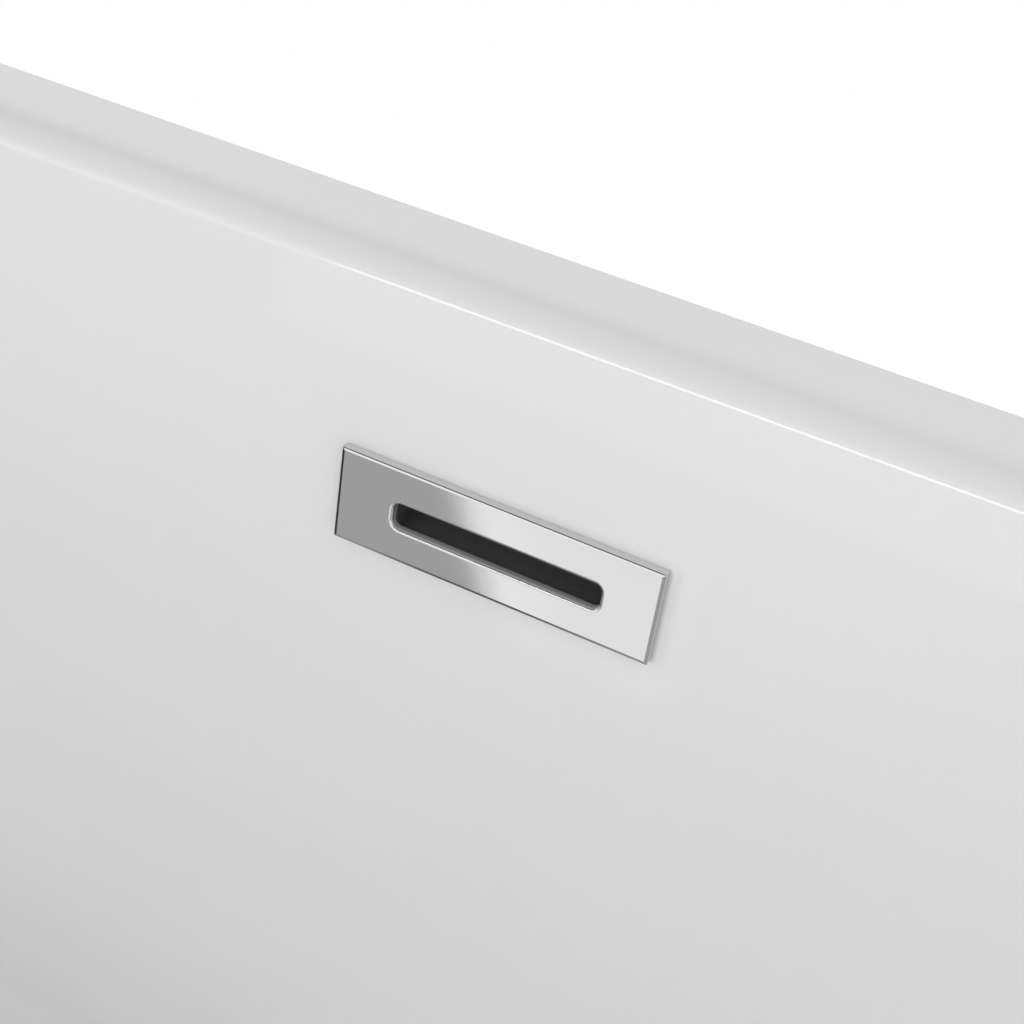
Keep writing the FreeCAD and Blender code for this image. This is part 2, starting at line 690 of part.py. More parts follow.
def make_feet():
    feet = {}
    for name, (x, y) in foot_places().items():
        foot_z = PAD_HEIGHT + PAD_NECK_HEIGHT - STUD_EMBED
        stud = rod(STUD_R, Vector(x, y, foot_z), UP, STUD_LENGTH)
        stud = stud.makeChamfer(STUD_TIP_CHAMFER, level_edges(stud, foot_z + STUD_LENGTH))
        pad = rod(PAD_R, Vector(x, y, 0), UP, PAD_HEIGHT)
        pad = pad.makeFillet(PAD_EDGE_R, level_edges(pad, PAD_HEIGHT))
        pad = pad.fuse(rod(PAD_NECK_R, Vector(x, y, PAD_HEIGHT), UP, PAD_NECK_HEIGHT))
        pad = pad.cut(rod(STUD_R, Vector(x, y, foot_z), UP, STUD_EMBED))
        feet["foot_stud_" + name] = stud
        feet["foot_pad_" + name] = pad
    return feet


# Overflow

def insert_tube_size():
    """Outer length and height of the insert's tube, which passes through the wall."""
    margin = 2 * (INSERT_SLOT_MARGIN + INSERT_WALL)
    return SLOT_LENGTH + margin, SLOT_HEIGHT + margin


def insert_flange_size():
    margin = 2 * (PLATE_WALL + INSERT_FIT)
    return PLATE_LENGTH - margin, PLATE_HEIGHT - margin


def insert_screw_xs():
    x = insert_flange_size()[0] / 2 - INSERT_SCREW_FROM_END
    return (-x, x)


def make_overflow_plate():
    """Cover plate: bevelled face, rounded slot, and a pocket behind that snaps over the insert's flange."""
    half, tall = PLATE_LENGTH / 2, PLATE_HEIGHT / 2
    plate = box(-half, half, -PLATE_DEPTH, 0, -tall, tall)
    front = [e for e in plate.Edges if abs(e.BoundBox.YMax + PLATE_DEPTH) < 1e-6]
    plate = plate.makeChamfer(PLATE_CHAMFER, front)
    pocket_x, pocket_z = half - PLATE_WALL, tall - PLATE_WALL
    plate = plate.cut(box(-pocket_x, pocket_x, -PLATE_DEPTH + PLATE_SKIN, 0, -pocket_z, pocket_z))
    plate = plate.cut(slot_block(SLOT_LENGTH, SLOT_HEIGHT, SLOT_CORNER_R, -2 * PLATE_DEPTH, PLATE_DEPTH))
    face_edges = [e for e in plate.Edges if abs(e.BoundBox.YMax + PLATE_DEPTH) < 1e-6]
    slot_edges = [e for e in face_edges if max(-e.BoundBox.ZMin, e.BoundBox.ZMax) < tall - PLATE_WALL]
    return on_wall(plate.makeFillet(SLOT_EDGE_R, slot_edges))


def make_overflow_insert():
    """Clamping insert: a flange behind the cover plate, with a tube through the wall into the housing."""
    length, height = insert_flange_size()
    depth = PLATE_DEPTH - PLATE_SKIN - INSERT_FIT
    flange = box(-length / 2, length / 2, -depth, 0, -height / 2, height / 2)
    tube_length, tube_height = insert_tube_size()
    reach = SKIN + GASKET_THICK + INSERT_REACH
    insert = flange.fuse(slot_block(tube_length, tube_height, SLOT_CORNER_R, 0, reach))
    bore = 2 * INSERT_WALL
    insert = insert.cut(slot_block(tube_length - bore, tube_height - bore, SLOT_CORNER_R, -depth, reach))
    return on_wall(pierce(insert, [insert_screw_cut(x) for x in insert_screw_xs()]))


def insert_screw_solid(x, fit):
    """A countersunk screw from the insert's flange through the wall into the housing, grown by a fit."""
    depth = PLATE_DEPTH - PLATE_SKIN - INSERT_FIT
    head_r = 2 * INSERT_SCREW_R
    along = Vector(0, 1, 0)
    head = Part.makeCone(head_r + fit, INSERT_SCREW_R + fit, depth, Vector(x, -depth, 0), along)
    length = SKIN + GASKET_THICK + INSERT_SCREW_BITE
    return head.fuse(rod(INSERT_SCREW_R + fit, Vector(x, 0, 0), along, length + fit))


def insert_screw_cut(x):
    return insert_screw_solid(x, SCREW_FIT)


def make_overflow_screws():
    return on_wall(Part.makeCompound([insert_screw_solid(x, 0.0) for x in insert_screw_xs()]))


def make_overflow_gasket():
    length, height = insert_flange_size()
    gasket = slot_block(length, height, SLOT_CORNER_R, SKIN, SKIN + GASKET_THICK)
    tube_length, tube_height = insert_tube_size()
    gap = 2 * INSERT_HOLE_GAP
    hole = slot_block(tube_length + gap, tube_height + gap, SLOT_CORNER_R, SKIN, SKIN + GASKET_THICK)
    return on_wall(pierce(gasket.cut(hole), [insert_screw_cut(x) for x in insert_screw_xs()]))


def housing_front():
    return SKIN + GASKET_THICK


def hose_centre_y():
    """Distance of the hose's axis behind the wall's inner face."""
    return housing_front() + HOUSING_FLANGE_THICK + HOUSING_DEPTH / 2


def housing_low():
    return -insert_tube_size()[1] / 2 - HOUSING_DROP


def make_overflow_housing():
    """Water collector behind the wall: flange, chamber and a spigot below for the hose."""
    front = housing_front()
    length, height = insert_flange_size()
    flange = slot_block(length, height, SLOT_CORNER_R, front, front + HOUSING_FLANGE_THICK)
    tube_length, tube_height = insert_tube_size()
    half, top, low = tube_length / 2 + HOUSING_WALL, height / 2, housing_low()
    back = front + HOUSING_FLANGE_THICK + HOUSING_DEPTH
    chamber = box(-half, half, front, back, low, top)
    rear = [e for e in chamber.Edges if abs(e.BoundBox.YMin - back) < 1e-6]
    chamber = chamber.makeFillet(2 * HOUSING_WALL, rear)
    wall = HOUSING_WALL
    hollow_front = front + HOUSING_FLANGE_THICK
    hollow = box(-half + wall, half - wall, hollow_front, back - wall, low + wall, top - wall)
    housing = chamber.fuse(flange)
    for x in insert_screw_xs():
        boss = rod(HOUSING_BOSS_R, Vector(x, front, 0), Vector(0, 1, 0), HOUSING_BOSS_LENGTH)
        housing = housing.fuse(boss)
    axis = Vector(0, hose_centre_y(), low + wall)
    housing = housing.fuse(rod(SPIGOT_R, axis, DOWN, wall + SPIGOT_LENGTH))
    housing = housing.cut(hollow)
    gap = 2 * INSERT_HOLE_GAP
    mouth = slot_block(tube_length + gap, tube_height + gap, SLOT_CORNER_R, front, hollow_front + wall)
    housing = housing.cut(mouth)
    housing = housing.cut(rod(SPIGOT_R - SPIGOT_WALL, axis + UP * wall, DOWN, 3 * wall + SPIGOT_LENGTH))
    return on_wall(pierce(housing, [insert_screw_cut(x) for x in insert_screw_xs()]))


# Hose

def hose_route():
    """Start, corner and end of the hose's axis: down along the back wall, then level to the waste."""
    start = overflow_placement().multVec(Vector(0, hose_centre_y(), housing_low()))
    down = overflow_placement().Rotation.multVec(DOWN)
    inlet_z = inlet_axis_z()
    travel = (inlet_z - start.z) / down.z
    corner = start + down * travel
    end = Vector(WASTE_X, WASTE_Y + BODY_R + HOSE_FIT, inlet_z)
    return start, corner, end


def corner_arc(first, corner, last):
    """The arc that leaves one line and meets another, both drawn to a corner from equally far off."""
    to_first, to_last = first - corner, last - corner
    half_angle = to_first.getAngle(to_last) / 2
    reach = to_first.Length / math.cos(half_angle) - to_first.Length * math.tan(half_angle)
    middle = corner + (to_first + to_last).normalize() * reach
    return Part.Arc(first, middle, last).toShape()


def hose_path():
    """The hose's axis as two straight runs joined by a tangent arc."""
    start, corner, end = hose_route()
    to_start, to_end = (start - corner).normalize(), (end - corner).normalize()
    tangent = HOSE_BEND_R / math.tan(to_start.getAngle(to_end) / 2)
    first, last = corner + to_start * tangent, corner + to_end * tangent
    return Part.Wire([Part.makeLine(start, first), corner_arc(first, corner, last), Part.makeLine(last, end)])


def point_on_path(wire, distance):
    """A point of the path and its direction, at a distance from the path's start."""
    for edge in wire.OrderedEdges:
        if distance <= edge.Length or edge.isSame(wire.OrderedEdges[-1]):
            parameter = edge.getParameterByLength(min(distance, edge.Length))
            return edge.valueAt(parameter), edge.tangentAt(parameter)
        distance -= edge.Length
    raise ValueError("the path has no edges")


def ring_on_path(wire, distance, radius):
    """A circle square to the path, turned so that its seam stays on one side."""
    centre, along = point_on_path(wire, distance)
    side = Vector(1, 0, 0)
    up = along.cross(side).normalize()
    rotation = FreeCAD.Rotation(side, up, along, "ZXY")
    circle = Part.Wire([Part.Circle(Vector(0, 0, 0), UP, radius).toShape()])
    circle.Placement = FreeCAD.Placement(centre, rotation)
    return circle


def make_overflow_hose():
    """Corrugated hose with a plain cuff at each end, over the housing's and the waste body's spigots."""
    wire = hose_path()
    length = wire.Length
    valley = HOSE_BORE_R + HOSE_WALL
    crest = valley + HOSE_RIB_HEIGHT
    cuff = SPIGOT_R + HOSE_FIT + HOSE_WALL
    ribs = int((length - 2 * HOSE_CUFF) / HOSE_RIB_PITCH)
    pitch = (length - 2 * HOSE_CUFF) / ribs
    rings = [(0.0, cuff), (HOSE_CUFF, cuff)]
    for i in range(ribs):
        start = HOSE_CUFF + i * pitch
        rings += [(start + pitch * share, radius) for share, radius in
                  ((0.15, valley), (0.40, valley), (0.60, crest), (0.90, crest))]
    rings += [(length - HOSE_CUFF + pitch * 0.1, cuff), (length, cuff)]
    hose = Part.makeLoft([ring_on_path(wire, d, r) for d, r in rings], True, True)
    bore = wire.makePipeShell([ring_on_path(wire, 0.0, HOSE_BORE_R)], True, False)
    hose = hose.cut(bore)
    for distance, sign in ((0.0, 1), (length, -1)):
        point, along = point_on_path(wire, distance)
        hose = hose.cut(rod(SPIGOT_R + HOSE_FIT, point, along * sign, SPIGOT_LENGTH + HOSE_FIT))
    print("overflow hose length", round(length, 1), "ribs", ribs)
    return hose


def make_hose_clamps():
    """A worm-drive band round each cuff of the hose."""
    wire = hose_path()
    inner = SPIGOT_R + HOSE_FIT + HOSE_WALL + CLAMP_FIT
    outer = inner + CLAMP_THICK
    side = Vector(1, 0, 0)
    clamps = []
    for distance in (HOSE_CUFF / 2, wire.Length - HOSE_CUFF / 2):
        point, along = point_on_path(wire, distance)
        across = along.cross(side).normalize()
        worm_start = point + side * (outer + CLAMP_SCREW_SINK) - across * (CLAMP_SCREW_LENGTH / 2)
        worm = rod(CLAMP_SCREW_R, worm_start, across, CLAMP_SCREW_LENGTH)
        band = rod(outer, point - along * (CLAMP_WIDTH / 2), along, CLAMP_WIDTH).fuse(worm)
        clamps.append(band.cut(rod(inner, point - along * CLAMP_WIDTH, along, 2 * CLAMP_WIDTH)))
    return Part.makeCompound(clamps)


# Waste

def flange_under_z():
    return FLOOR_Z + FLANGE_SEAL_THICK


def flange_top_z():
    return flange_under_z() + FLANGE_THICK


def body_top_z():
    return FLOOR_UNDER_Z - BODY_SEAL_THICK


def body_low_z():
    return body_top_z() - BODY_HEIGHT


def inlet_axis_z():
    return body_top_z() - INLET_BELOW_FLANGE


def spider_top_z():
    return flange_under_z() - SPIDER_BELOW_FLANGE


def make_flange_seal():
    return ring(FLANGE_R - FLANGE_EDGE_R, TAIL_R + TAIL_FIT, FLOOR_Z, flange_under_z())


def make_body_seal():
    return ring(BODY_FLANGE_R - BODY_WALL, WASTE_HOLE_R, body_top_z(), FLOOR_UNDER_Z)


def make_waste_flange():
    """Flange in the floor, with a tail down into the body and a spider that carries the plug's cartridge."""
    top, under = flange_top_z(), flange_under_z()
    bore = TAIL_R - TAIL_WALL
    dish = turned([(bore, under), (FLANGE_R, under), (FLANGE_R, top), (bore, top)])
    outer = [e for e in level_edges(dish, top) if e.BoundBox.XLength > 2 * TAIL_R]
    dish = dish.makeFillet(FLANGE_EDGE_R, outer)
    flange = dish.fuse(ring(TAIL_R, bore, under - TAIL_LENGTH, under))
    spider_top = spider_top_z()
    hub_r = CARTRIDGE_R + CARTRIDGE_FIT + HUB_WALL
    arm_start, arm_end = hub_r - SPIDER_ARM_SINK, bore + SPIDER_ARM_SINK
    spider = ring(hub_r, CARTRIDGE_R + CARTRIDGE_FIT, spider_top - SPIDER_HEIGHT, spider_top)
    for i in range(SPIDER_ARMS):
        arm_half = SPIDER_ARM_WIDTH / 2
        arm = box(arm_start, arm_end, -arm_half, arm_half, spider_top - SPIDER_HEIGHT, spider_top)
        arm.rotate(Vector(0, 0, 0), UP, 360.0 * i / SPIDER_ARMS + 90)
        arm.translate(Vector(WASTE_X, WASTE_Y, 0))
        spider = spider.fuse(arm)
    flange = flange.fuse(spider)
    window_z = inlet_axis_z() - WINDOW_HEIGHT / 2
    for i in range(SPIDER_ARMS):
        window = box(0, 2 * TAIL_R, -WINDOW_WIDTH / 2, WINDOW_WIDTH / 2, window_z, window_z + WINDOW_HEIGHT)
        window = window.cut(box(0, hub_r, -WINDOW_WIDTH, WINDOW_WIDTH, window_z, window_z + WINDOW_HEIGHT))
        window.rotate(Vector(0, 0, 0), UP, 360.0 * i / SPIDER_ARMS + 30)
        window.translate(Vector(WASTE_X, WASTE_Y, 0))
        flange = flange.cut(window)
    return flange


def outlet_r():
    """Outer radius of the body's outlet, which fits inside the trap's socket."""
    return PIPE_R - PIPE_WALL - PIPE_FIT


def make_waste_body():
    """Cup under the floor: the flange's tail seats in its collar, and the overflow enters at its side."""
    top, low = body_top_z(), body_low_z()
    inner = BODY_R - BODY_WALL
    out_r, out_bore = outlet_r(), outlet_r() - PIPE_WALL
    collar_z = flange_under_z() - TAIL_LENGTH + BODY_WALL
    collar_r = TAIL_R + TAIL_FIT
    body = turned([
        (WASTE_HOLE_R, top), (BODY_FLANGE_R, top), (BODY_FLANGE_R, top - BODY_FLANGE_THICK),
        (BODY_R, top - BODY_FLANGE_THICK), (BODY_R, low), (out_r, low - BODY_WALL),
        (out_r, low - BODY_OUTLET_LENGTH), (out_bore, low - BODY_OUTLET_LENGTH), (out_bore, low + BODY_WALL),
        (collar_r, low + BODY_WALL), (collar_r, collar_z), (inner, collar_z + BODY_WALL),
        (inner, top - BODY_FLANGE_THICK), (WASTE_HOLE_R, top - BODY_FLANGE_THICK),
    ])
    axis = Vector(WASTE_X, WASTE_Y + inner, inlet_axis_z())
    along = Vector(0, 1, 0)
    spigot = rod(SPIGOT_R, axis, along, BODY_WALL + SPIGOT_LENGTH)
    cup_inside = rod(inner, Vector(WASTE_X, WASTE_Y, low), UP, top - low)
    body = body.fuse(spigot.cut(cup_inside))
    reach = BODY_WALL + SPIGOT_LENGTH + BODY_R
    return body.cut(rod(SPIGOT_R - SPIGOT_WALL, axis - along * (inner - TAIL_R - TAIL_WALL), along, reach))


def plug_under_z():
    """Underside of the closed plug's cap, just clear of the flange."""
    return flange_top_z() + PLUG_SEAT_GAP


def make_plug_cap():
    under, top = plug_under_z(), plug_under_z() + PLUG_THICK
    cap = turned([(0, under), (PLUG_R, under), (PLUG_R, top), (0, top + PLUG_CROWN)])
    rim = [e for e in level_edges(cap, top) if e.BoundBox.XLength > PLUG_R]
    cap = cap.makeFillet(PLUG_EDGE_R, rim)
    boss = ring(PLUG_BOSS_R, STEM_R, under - PLUG_BOSS_HEIGHT, under)
    return cap.fuse(boss)


def make_plug_seal():
    under = plug_under_z()
    outer = TAIL_R - TAIL_WALL - PLUG_SEAL_FIT
    seal = ring(outer, PLUG_BOSS_R, under - PLUG_BOSS_HEIGHT, under)
    low = [e for e in level_edges(seal, under - PLUG_BOSS_HEIGHT) if e.BoundBox.XLength > 2 * PLUG_BOSS_R]
    return seal.makeChamfer((outer - PLUG_BOSS_R) / 2, low)


def cartridge_top_z():
    """Top of the cartridge: the closed plug's boss stops just above it."""
    return plug_under_z() - PLUG_BOSS_HEIGHT - PLUG_SEAT_GAP


def collar_z():
    """Underside of the stem's collar when the plug is closed."""
    return cartridge_top_z() - CARTRIDGE_GUIDE - PLUG_TRAVEL - CHAMBER_GAP - STEM_COLLAR_HEIGHT


def cartridge_low_z():
    return collar_z() - SPRING_HEIGHT - CARTRIDGE_END


def make_plug_stem():
    low = collar_z()
    stem = turned([(0, low), (STEM_COLLAR_R, low), (STEM_COLLAR_R, low + STEM_COLLAR_HEIGHT),
                   (STEM_R, low + STEM_COLLAR_HEIGHT), (STEM_R, plug_under_z()), (0, plug_under_z())])
    return stem


def make_plug_cartridge():
    """Barrel that guides the stem and holds the spring under the stem's collar."""
    low, top = cartridge_low_z(), cartridge_top_z()
    bore = STEM_R + STEM_FIT
    chamber = STEM_COLLAR_R + CHAMBER_GAP
    guide = top - CARTRIDGE_GUIDE
    return turned([(0, low), (CARTRIDGE_R, low), (CARTRIDGE_R, top), (bore, top), (bore, guide),
                   (chamber, guide), (chamber, low + CARTRIDGE_END), (0, low + CARTRIDGE_END)])


def spring_point(turn, low, rise):
    """A point of the spring's axis after some turns, and the axis's direction there."""
    angle = 2 * math.pi * turn
    climb = rise / SPRING_TURNS
    out = Vector(math.cos(angle), math.sin(angle), 0)
    point = Vector(WASTE_X, WASTE_Y, low + climb * turn) + out * SPRING_R
    along = Vector(-math.sin(angle), math.cos(angle), climb / (2 * math.pi * SPRING_R))
    return point, along.normalize()


def paired_arcs(start, start_along, end, end_along):
    """Two arcs that meet smoothly, from one point and direction to another."""
    span, both = end - start, start_along + end_along
    lean = span.dot(both)
    spread = 2 * (1 - start_along.dot(end_along))
    reach = (math.sqrt(lean * lean + spread * span.dot(span)) - lean) / spread
    first_corner, last_corner = start + start_along * reach, end - end_along * reach
    middle = (first_corner + last_corner) / 2
    return [corner_arc(start, first_corner, middle), corner_arc(middle, last_corner, end)]


def make_plug_spring():
    """Open coil under the stem's collar: one tube along paired arcs, a quarter turn at a time."""
    low = cartridge_low_z() + CARTRIDGE_END + SPRING_WIRE_R
    rise = SPRING_HEIGHT - 2 * SPRING_WIRE_R
    stops = [spring_point(i / 4, low, rise) for i in range(4 * SPRING_TURNS + 1)]
    edges = []
    for (start, start_along), (end, end_along) in zip(stops, stops[1:]):
        edges += paired_arcs(start, start_along, end, end_along)
    section = Part.Wire([Part.Circle(stops[0][0], stops[0][1], SPRING_WIRE_R).toShape()])
    print("spring coil gap", round(rise / SPRING_TURNS - 2 * SPRING_WIRE_R, 2))
    return Part.Wire(edges).makePipeShell([section], True, False)


# Trap and outlet

def trap_top_z():
    return body_low_z() - BODY_WALL


def trap_bend_z():
    """Height of the U-bend's centre, a straight leg below the waste body."""
    return trap_top_z() - TRAP_LEG


def trap_end():
    """Where the U-bend's rising leg ends and the outlet pipe starts: the leg is as long as its nut."""
    return Vector(WASTE_X + 2 * TRAP_BEND_R, WASTE_Y, trap_bend_z() + PIPE_NUT_HEIGHT)


def swept_pipe(wire, outer, inner):
    start, along = point_on_path(wire, 0.0)
    sections = [Part.Wire([Part.Circle(start, along, r).toShape()]) for r in (outer, inner)]
    solids = [wire.makePipeShell([s], True, False) for s in sections]
    return solids[0].cut(solids[1])


def make_trap_bend():
    """U-bend whose upper socket takes the waste body's outlet."""
    z, r = trap_bend_z(), TRAP_BEND_R
    top = Vector(WASTE_X, WASTE_Y, trap_top_z())
    inlet = Vector(WASTE_X, WASTE_Y, z)
    far = Vector(WASTE_X + 2 * r, WASTE_Y, z)
    lowest = Vector(WASTE_X + r, WASTE_Y, z - r)
    bend = Part.Arc(inlet, lowest, far).toShape()
    wire = Part.Wire([Part.makeLine(top, inlet), bend, Part.makeLine(far, trap_end())])
    return swept_pipe(wire, PIPE_R, PIPE_R - PIPE_WALL)


def make_outlet_pipe():
    """Bend from the trap's rising leg to a level pipe, whose end is a spigot past a stop bead."""
    start, r = trap_end(), TRAP_BEND_R
    bend_end = start + Vector(0, r, r)
    middle = start + Vector(0, r - r * math.cos(math.pi / 4), r * math.sin(math.pi / 4))
    end = Vector(start.x, HALF_WIDTH - OUTLET_WALL_GAP, bend_end.z)
    wire = Part.Wire([Part.Arc(start, middle, bend_end).toShape(), Part.makeLine(bend_end, end)])
    pipe = swept_pipe(wire, PIPE_R, PIPE_R - PIPE_WALL)
    out = Vector(0, 1, 0)
    bead_start = end - out * (OUTLET_SPIGOT + OUTLET_BEAD_LENGTH)
    return pipe.fuse(pipe_piece(OUTLET_BEAD_R, PIPE_R - PIPE_WALL / 2, bead_start, out, OUTLET_BEAD_LENGTH))


def ribbed_nut(x, y, z, height):
    """A hand nut with grip ribs round it."""
    nut = rod(PIPE_NUT_R, Vector(x, y, z), UP, height)
    nut = nut.makeChamfer(PIPE_NUT_CHAMFER, level_edges(nut, z) + level_edges(nut, z + height))
    for i in range(PIPE_NUT_RIBS):
        angle = 2 * math.pi * i / PIPE_NUT_RIBS
        out = Vector(math.cos(angle), math.sin(angle), 0)
        rib_start = Vector(x, y, z + PIPE_NUT_CHAMFER) + out * PIPE_NUT_R
        nut = nut.fuse(rod(PIPE_NUT_RIB_R, rib_start, UP, height - 2 * PIPE_NUT_CHAMFER))
    return nut.cut(rod(PIPE_R + PIPE_FIT, Vector(x, y, z), UP, height))


def make_pipe_nuts():
    inlet = ribbed_nut(WASTE_X, WASTE_Y, trap_top_z() - PIPE_NUT_HEIGHT, PIPE_NUT_HEIGHT)
    end = trap_end()
    outlet = ribbed_nut(end.x, end.y, end.z - PIPE_NUT_HEIGHT, PIPE_NUT_HEIGHT)
    return {"trap_inlet_nut": inlet, "trap_outlet_nut": outlet}


def make_nodes():
    nodes = {
        "tub_shell": make_tub_shell(),
        "glassfibre_backing": make_glassfibre_backing(),
        "base_board": make_base_board(),
        "apron_panel": make_apron_panel(),
        "apron_brackets": make_apron_brackets(),
        "apron_side_stays": make_apron_side_stays(),
        "apron_screws": make_apron_screws(),
        "apron_clips": make_apron_clips(),
        "apron_clip_screws": make_clip_screws(),
        "leg_bar_screws": make_leg_bar_screws(),
        "foot_nuts": make_foot_nuts(),
        "overflow_plate": make_overflow_plate(),
        "overflow_insert": make_overflow_insert(),
        "overflow_screws": make_overflow_screws(),
        "overflow_gasket": make_overflow_gasket(),
        "overflow_housing": make_overflow_housing(),
        "overflow_hose": make_overflow_hose(),
        "hose_clamps": make_hose_clamps(),
        "flange_seal": make_flange_seal(),
        "body_seal": make_body_seal(),
        "waste_flange": make_waste_flange(),
        "waste_body": make_waste_body(),
        "plug_cap": make_plug_cap(),
        "plug_seal": make_plug_seal(),
        "plug_stem": make_plug_stem(),
        "plug_cartridge": make_plug_cartridge(),
        "plug_spring": make_plug_spring(),
        "trap_bend": make_trap_bend(),
        "outlet_pipe": make_outlet_pipe(),
    }
    nodes.update(make_battens())
    nodes.update(make_wall_hooks())
    nodes.update(make_leg_bars())
    nodes.update(make_feet())
    nodes.update(make_pipe_nuts())
    return nodes


def main():
    os.makedirs("parts", exist_ok=True)
    for name, shape in make_nodes().items():
        shape.exportStep(os.path.join("parts", name + ".step"))


main()
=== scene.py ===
"""Looks of the corner bathtub: acrylic shell and apron, chrome overflow and waste, frame, feet and pipes."""
import json
import math

import bmesh
import bpy
from mathutils import Matrix, Vector


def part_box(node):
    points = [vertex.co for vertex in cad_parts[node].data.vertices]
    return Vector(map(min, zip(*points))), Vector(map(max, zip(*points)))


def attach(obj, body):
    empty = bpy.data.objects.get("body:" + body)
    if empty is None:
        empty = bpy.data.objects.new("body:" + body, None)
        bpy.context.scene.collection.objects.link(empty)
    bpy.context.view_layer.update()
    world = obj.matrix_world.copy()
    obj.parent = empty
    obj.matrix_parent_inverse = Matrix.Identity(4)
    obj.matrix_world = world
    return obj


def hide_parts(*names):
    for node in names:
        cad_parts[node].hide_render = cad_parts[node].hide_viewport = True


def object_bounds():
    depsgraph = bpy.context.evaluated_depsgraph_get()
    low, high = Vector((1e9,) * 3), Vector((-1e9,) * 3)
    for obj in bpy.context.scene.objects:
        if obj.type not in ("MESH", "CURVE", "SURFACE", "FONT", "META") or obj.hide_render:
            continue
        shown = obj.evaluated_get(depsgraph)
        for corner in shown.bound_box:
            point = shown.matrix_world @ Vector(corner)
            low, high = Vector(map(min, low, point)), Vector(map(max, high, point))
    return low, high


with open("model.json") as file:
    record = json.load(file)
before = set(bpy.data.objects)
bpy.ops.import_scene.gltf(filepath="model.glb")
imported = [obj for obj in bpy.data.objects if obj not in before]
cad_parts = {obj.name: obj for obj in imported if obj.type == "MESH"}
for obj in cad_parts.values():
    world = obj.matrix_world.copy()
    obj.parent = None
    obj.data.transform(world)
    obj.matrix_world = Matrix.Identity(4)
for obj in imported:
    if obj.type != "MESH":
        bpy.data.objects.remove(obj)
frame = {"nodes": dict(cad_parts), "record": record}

cad_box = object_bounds()
nodes = frame["nodes"]
MM = 0.001

# Sizes of the moulded shell, as in the solid
HALF_LENGTH, HALF_WIDTH, RIM_Z = cad_box[1]
SHEET = 5 * MM
GLASSFIBRE = 3 * MM
RIM_WIDTH = 38 * MM
ROLL_WIDTH = 12 * MM
ROLL_DROP = 2 * MM
ROLL_TURN = 2.2 * MM
CREST = 24 * MM
CREST_FALL = 0.15 * MM
OUTER_EDGE_R = 3.2 * MM
RIM_FLAT = RIM_WIDTH - OUTER_EDGE_R - ROLL_WIDTH
MOUTH_X, MOUTH_Y = HALF_LENGTH - RIM_WIDTH, HALF_WIDTH - RIM_WIDTH
EDGE_Z = RIM_Z - ROLL_DROP
LIP_Z = RIM_Z - 38 * MM
FLOOR_Z = 160 * MM
SIDE_SLOPE, END_SLOPE = math.radians(14), math.radians(26)
WALL_CORNER_R, FREE_CORNER_R = 15 * MM, 320 * MM
CORNER_TOP_R, CORNER_FLOOR_R = 150 * MM, 95 * MM
FREE_TOP_R, FREE_FLOOR_R = FREE_CORNER_R - RIM_WIDTH, 180 * MM
FLOOR_FILLET_R = 60 * MM
WASTE = Vector((0, 100 * MM, 0))
WASTE_HOLE_R = 26 * MM

# The overflow's own frame: X along the back wall, Y up it, Z out of it into the basin
OVERFLOW_DROP = 80.8 * MM
OVERFLOW = Vector((0, MOUTH_Y - OVERFLOW_DROP * math.sin(SIDE_SLOPE),
                   EDGE_Z - OVERFLOW_DROP * math.cos(SIDE_SLOPE)))
ON_WALL = Matrix.Translation(OVERFLOW) @ Matrix.Rotation(math.pi / 2 - SIDE_SLOPE, 4, "X")
OVERFLOW_HOLE_X, OVERFLOW_HOLE_Z = 44 * MM, 9.4 * MM

# How finely rings are divided: steps in each corner, and points in a whole ring
CORNER_STEPS = 24
RING_POINTS = 4 * (CORNER_STEPS + 1)

# Points nearer than this are one point
SAME_PLACE = 0.0001 * MM


# Shader nodes

def finish(name, colour, roughness, metallic=0.0, ior=1.5):
    """A new material and its shader."""
    mat = bpy.data.materials.new(name)
    mat.use_nodes = True
    shader = mat.node_tree.nodes["Principled BSDF"]
    shader.inputs["Base Color"].default_value = (*colour, 1)
    shader.inputs["Roughness"].default_value = roughness
    shader.inputs["Metallic"].default_value = metallic
    shader.inputs["IOR"].default_value = ior
    return mat, shader


def add(mat, kind, values=None, **settings):
    """A new shader node with its settings, and with values for its inputs."""
    node = mat.node_tree.nodes.new("ShaderNode" + kind)
    for name, setting in settings.items():
        setattr(node, name, setting)
    for name, value in (values or {}).items():
        node.inputs[name].default_value = value
    return node


def join(mat, source, socket):
    """Leads one node's output to another's input."""
    mat.node_tree.links.new(source, socket)


def place(mat, scale=(1, 1, 1), turn=(0, 0, 0)):
    """Object coordinates, stretched and turned."""
    where = add(mat, "TexCoord")
    mapping = add(mat, "Mapping", {"Scale": scale, "Rotation": turn})
    join(mat, where.outputs["Object"], mapping.inputs["Vector"])
    return mapping.outputs["Vector"]


def noise(mat, vector, scale, detail=4.0, rough=0.5):
    """Soft noise from 0 to 1."""
    node = add(mat, "TexNoise", {"Scale": scale, "Detail": detail, "Roughness": rough})
    join(mat, vector, node.inputs["Vector"])
    return node.outputs["Fac"]


def cells(mat, vector, scale, output, feature="F1"):
    """Small cells: each cell's own colour, or the distance to the cells' edges."""
    node = add(mat, "TexVoronoi", {"Scale": scale}, feature=feature)
    join(mat, vector, node.inputs["Vector"])
    return node.outputs[output]


def channel(mat, colour, name):
    """One channel of a colour."""
    node = add(mat, "SeparateColor")
    join(mat, colour, node.inputs["Color"])
    return node.outputs[name]


def ramp(mat, value, stops):
    """Colours along a value, from pairs of place and colour."""
    node = add(mat, "ValToRGB")
    while len(node.color_ramp.elements) < len(stops):
        node.color_ramp.elements.new(0.5)
    for element, (at, colour) in zip(node.color_ramp.elements, stops):
        element.position = at
        element.color = (*colour, 1)
    join(mat, value, node.inputs["Fac"])
    return node.outputs["Color"]


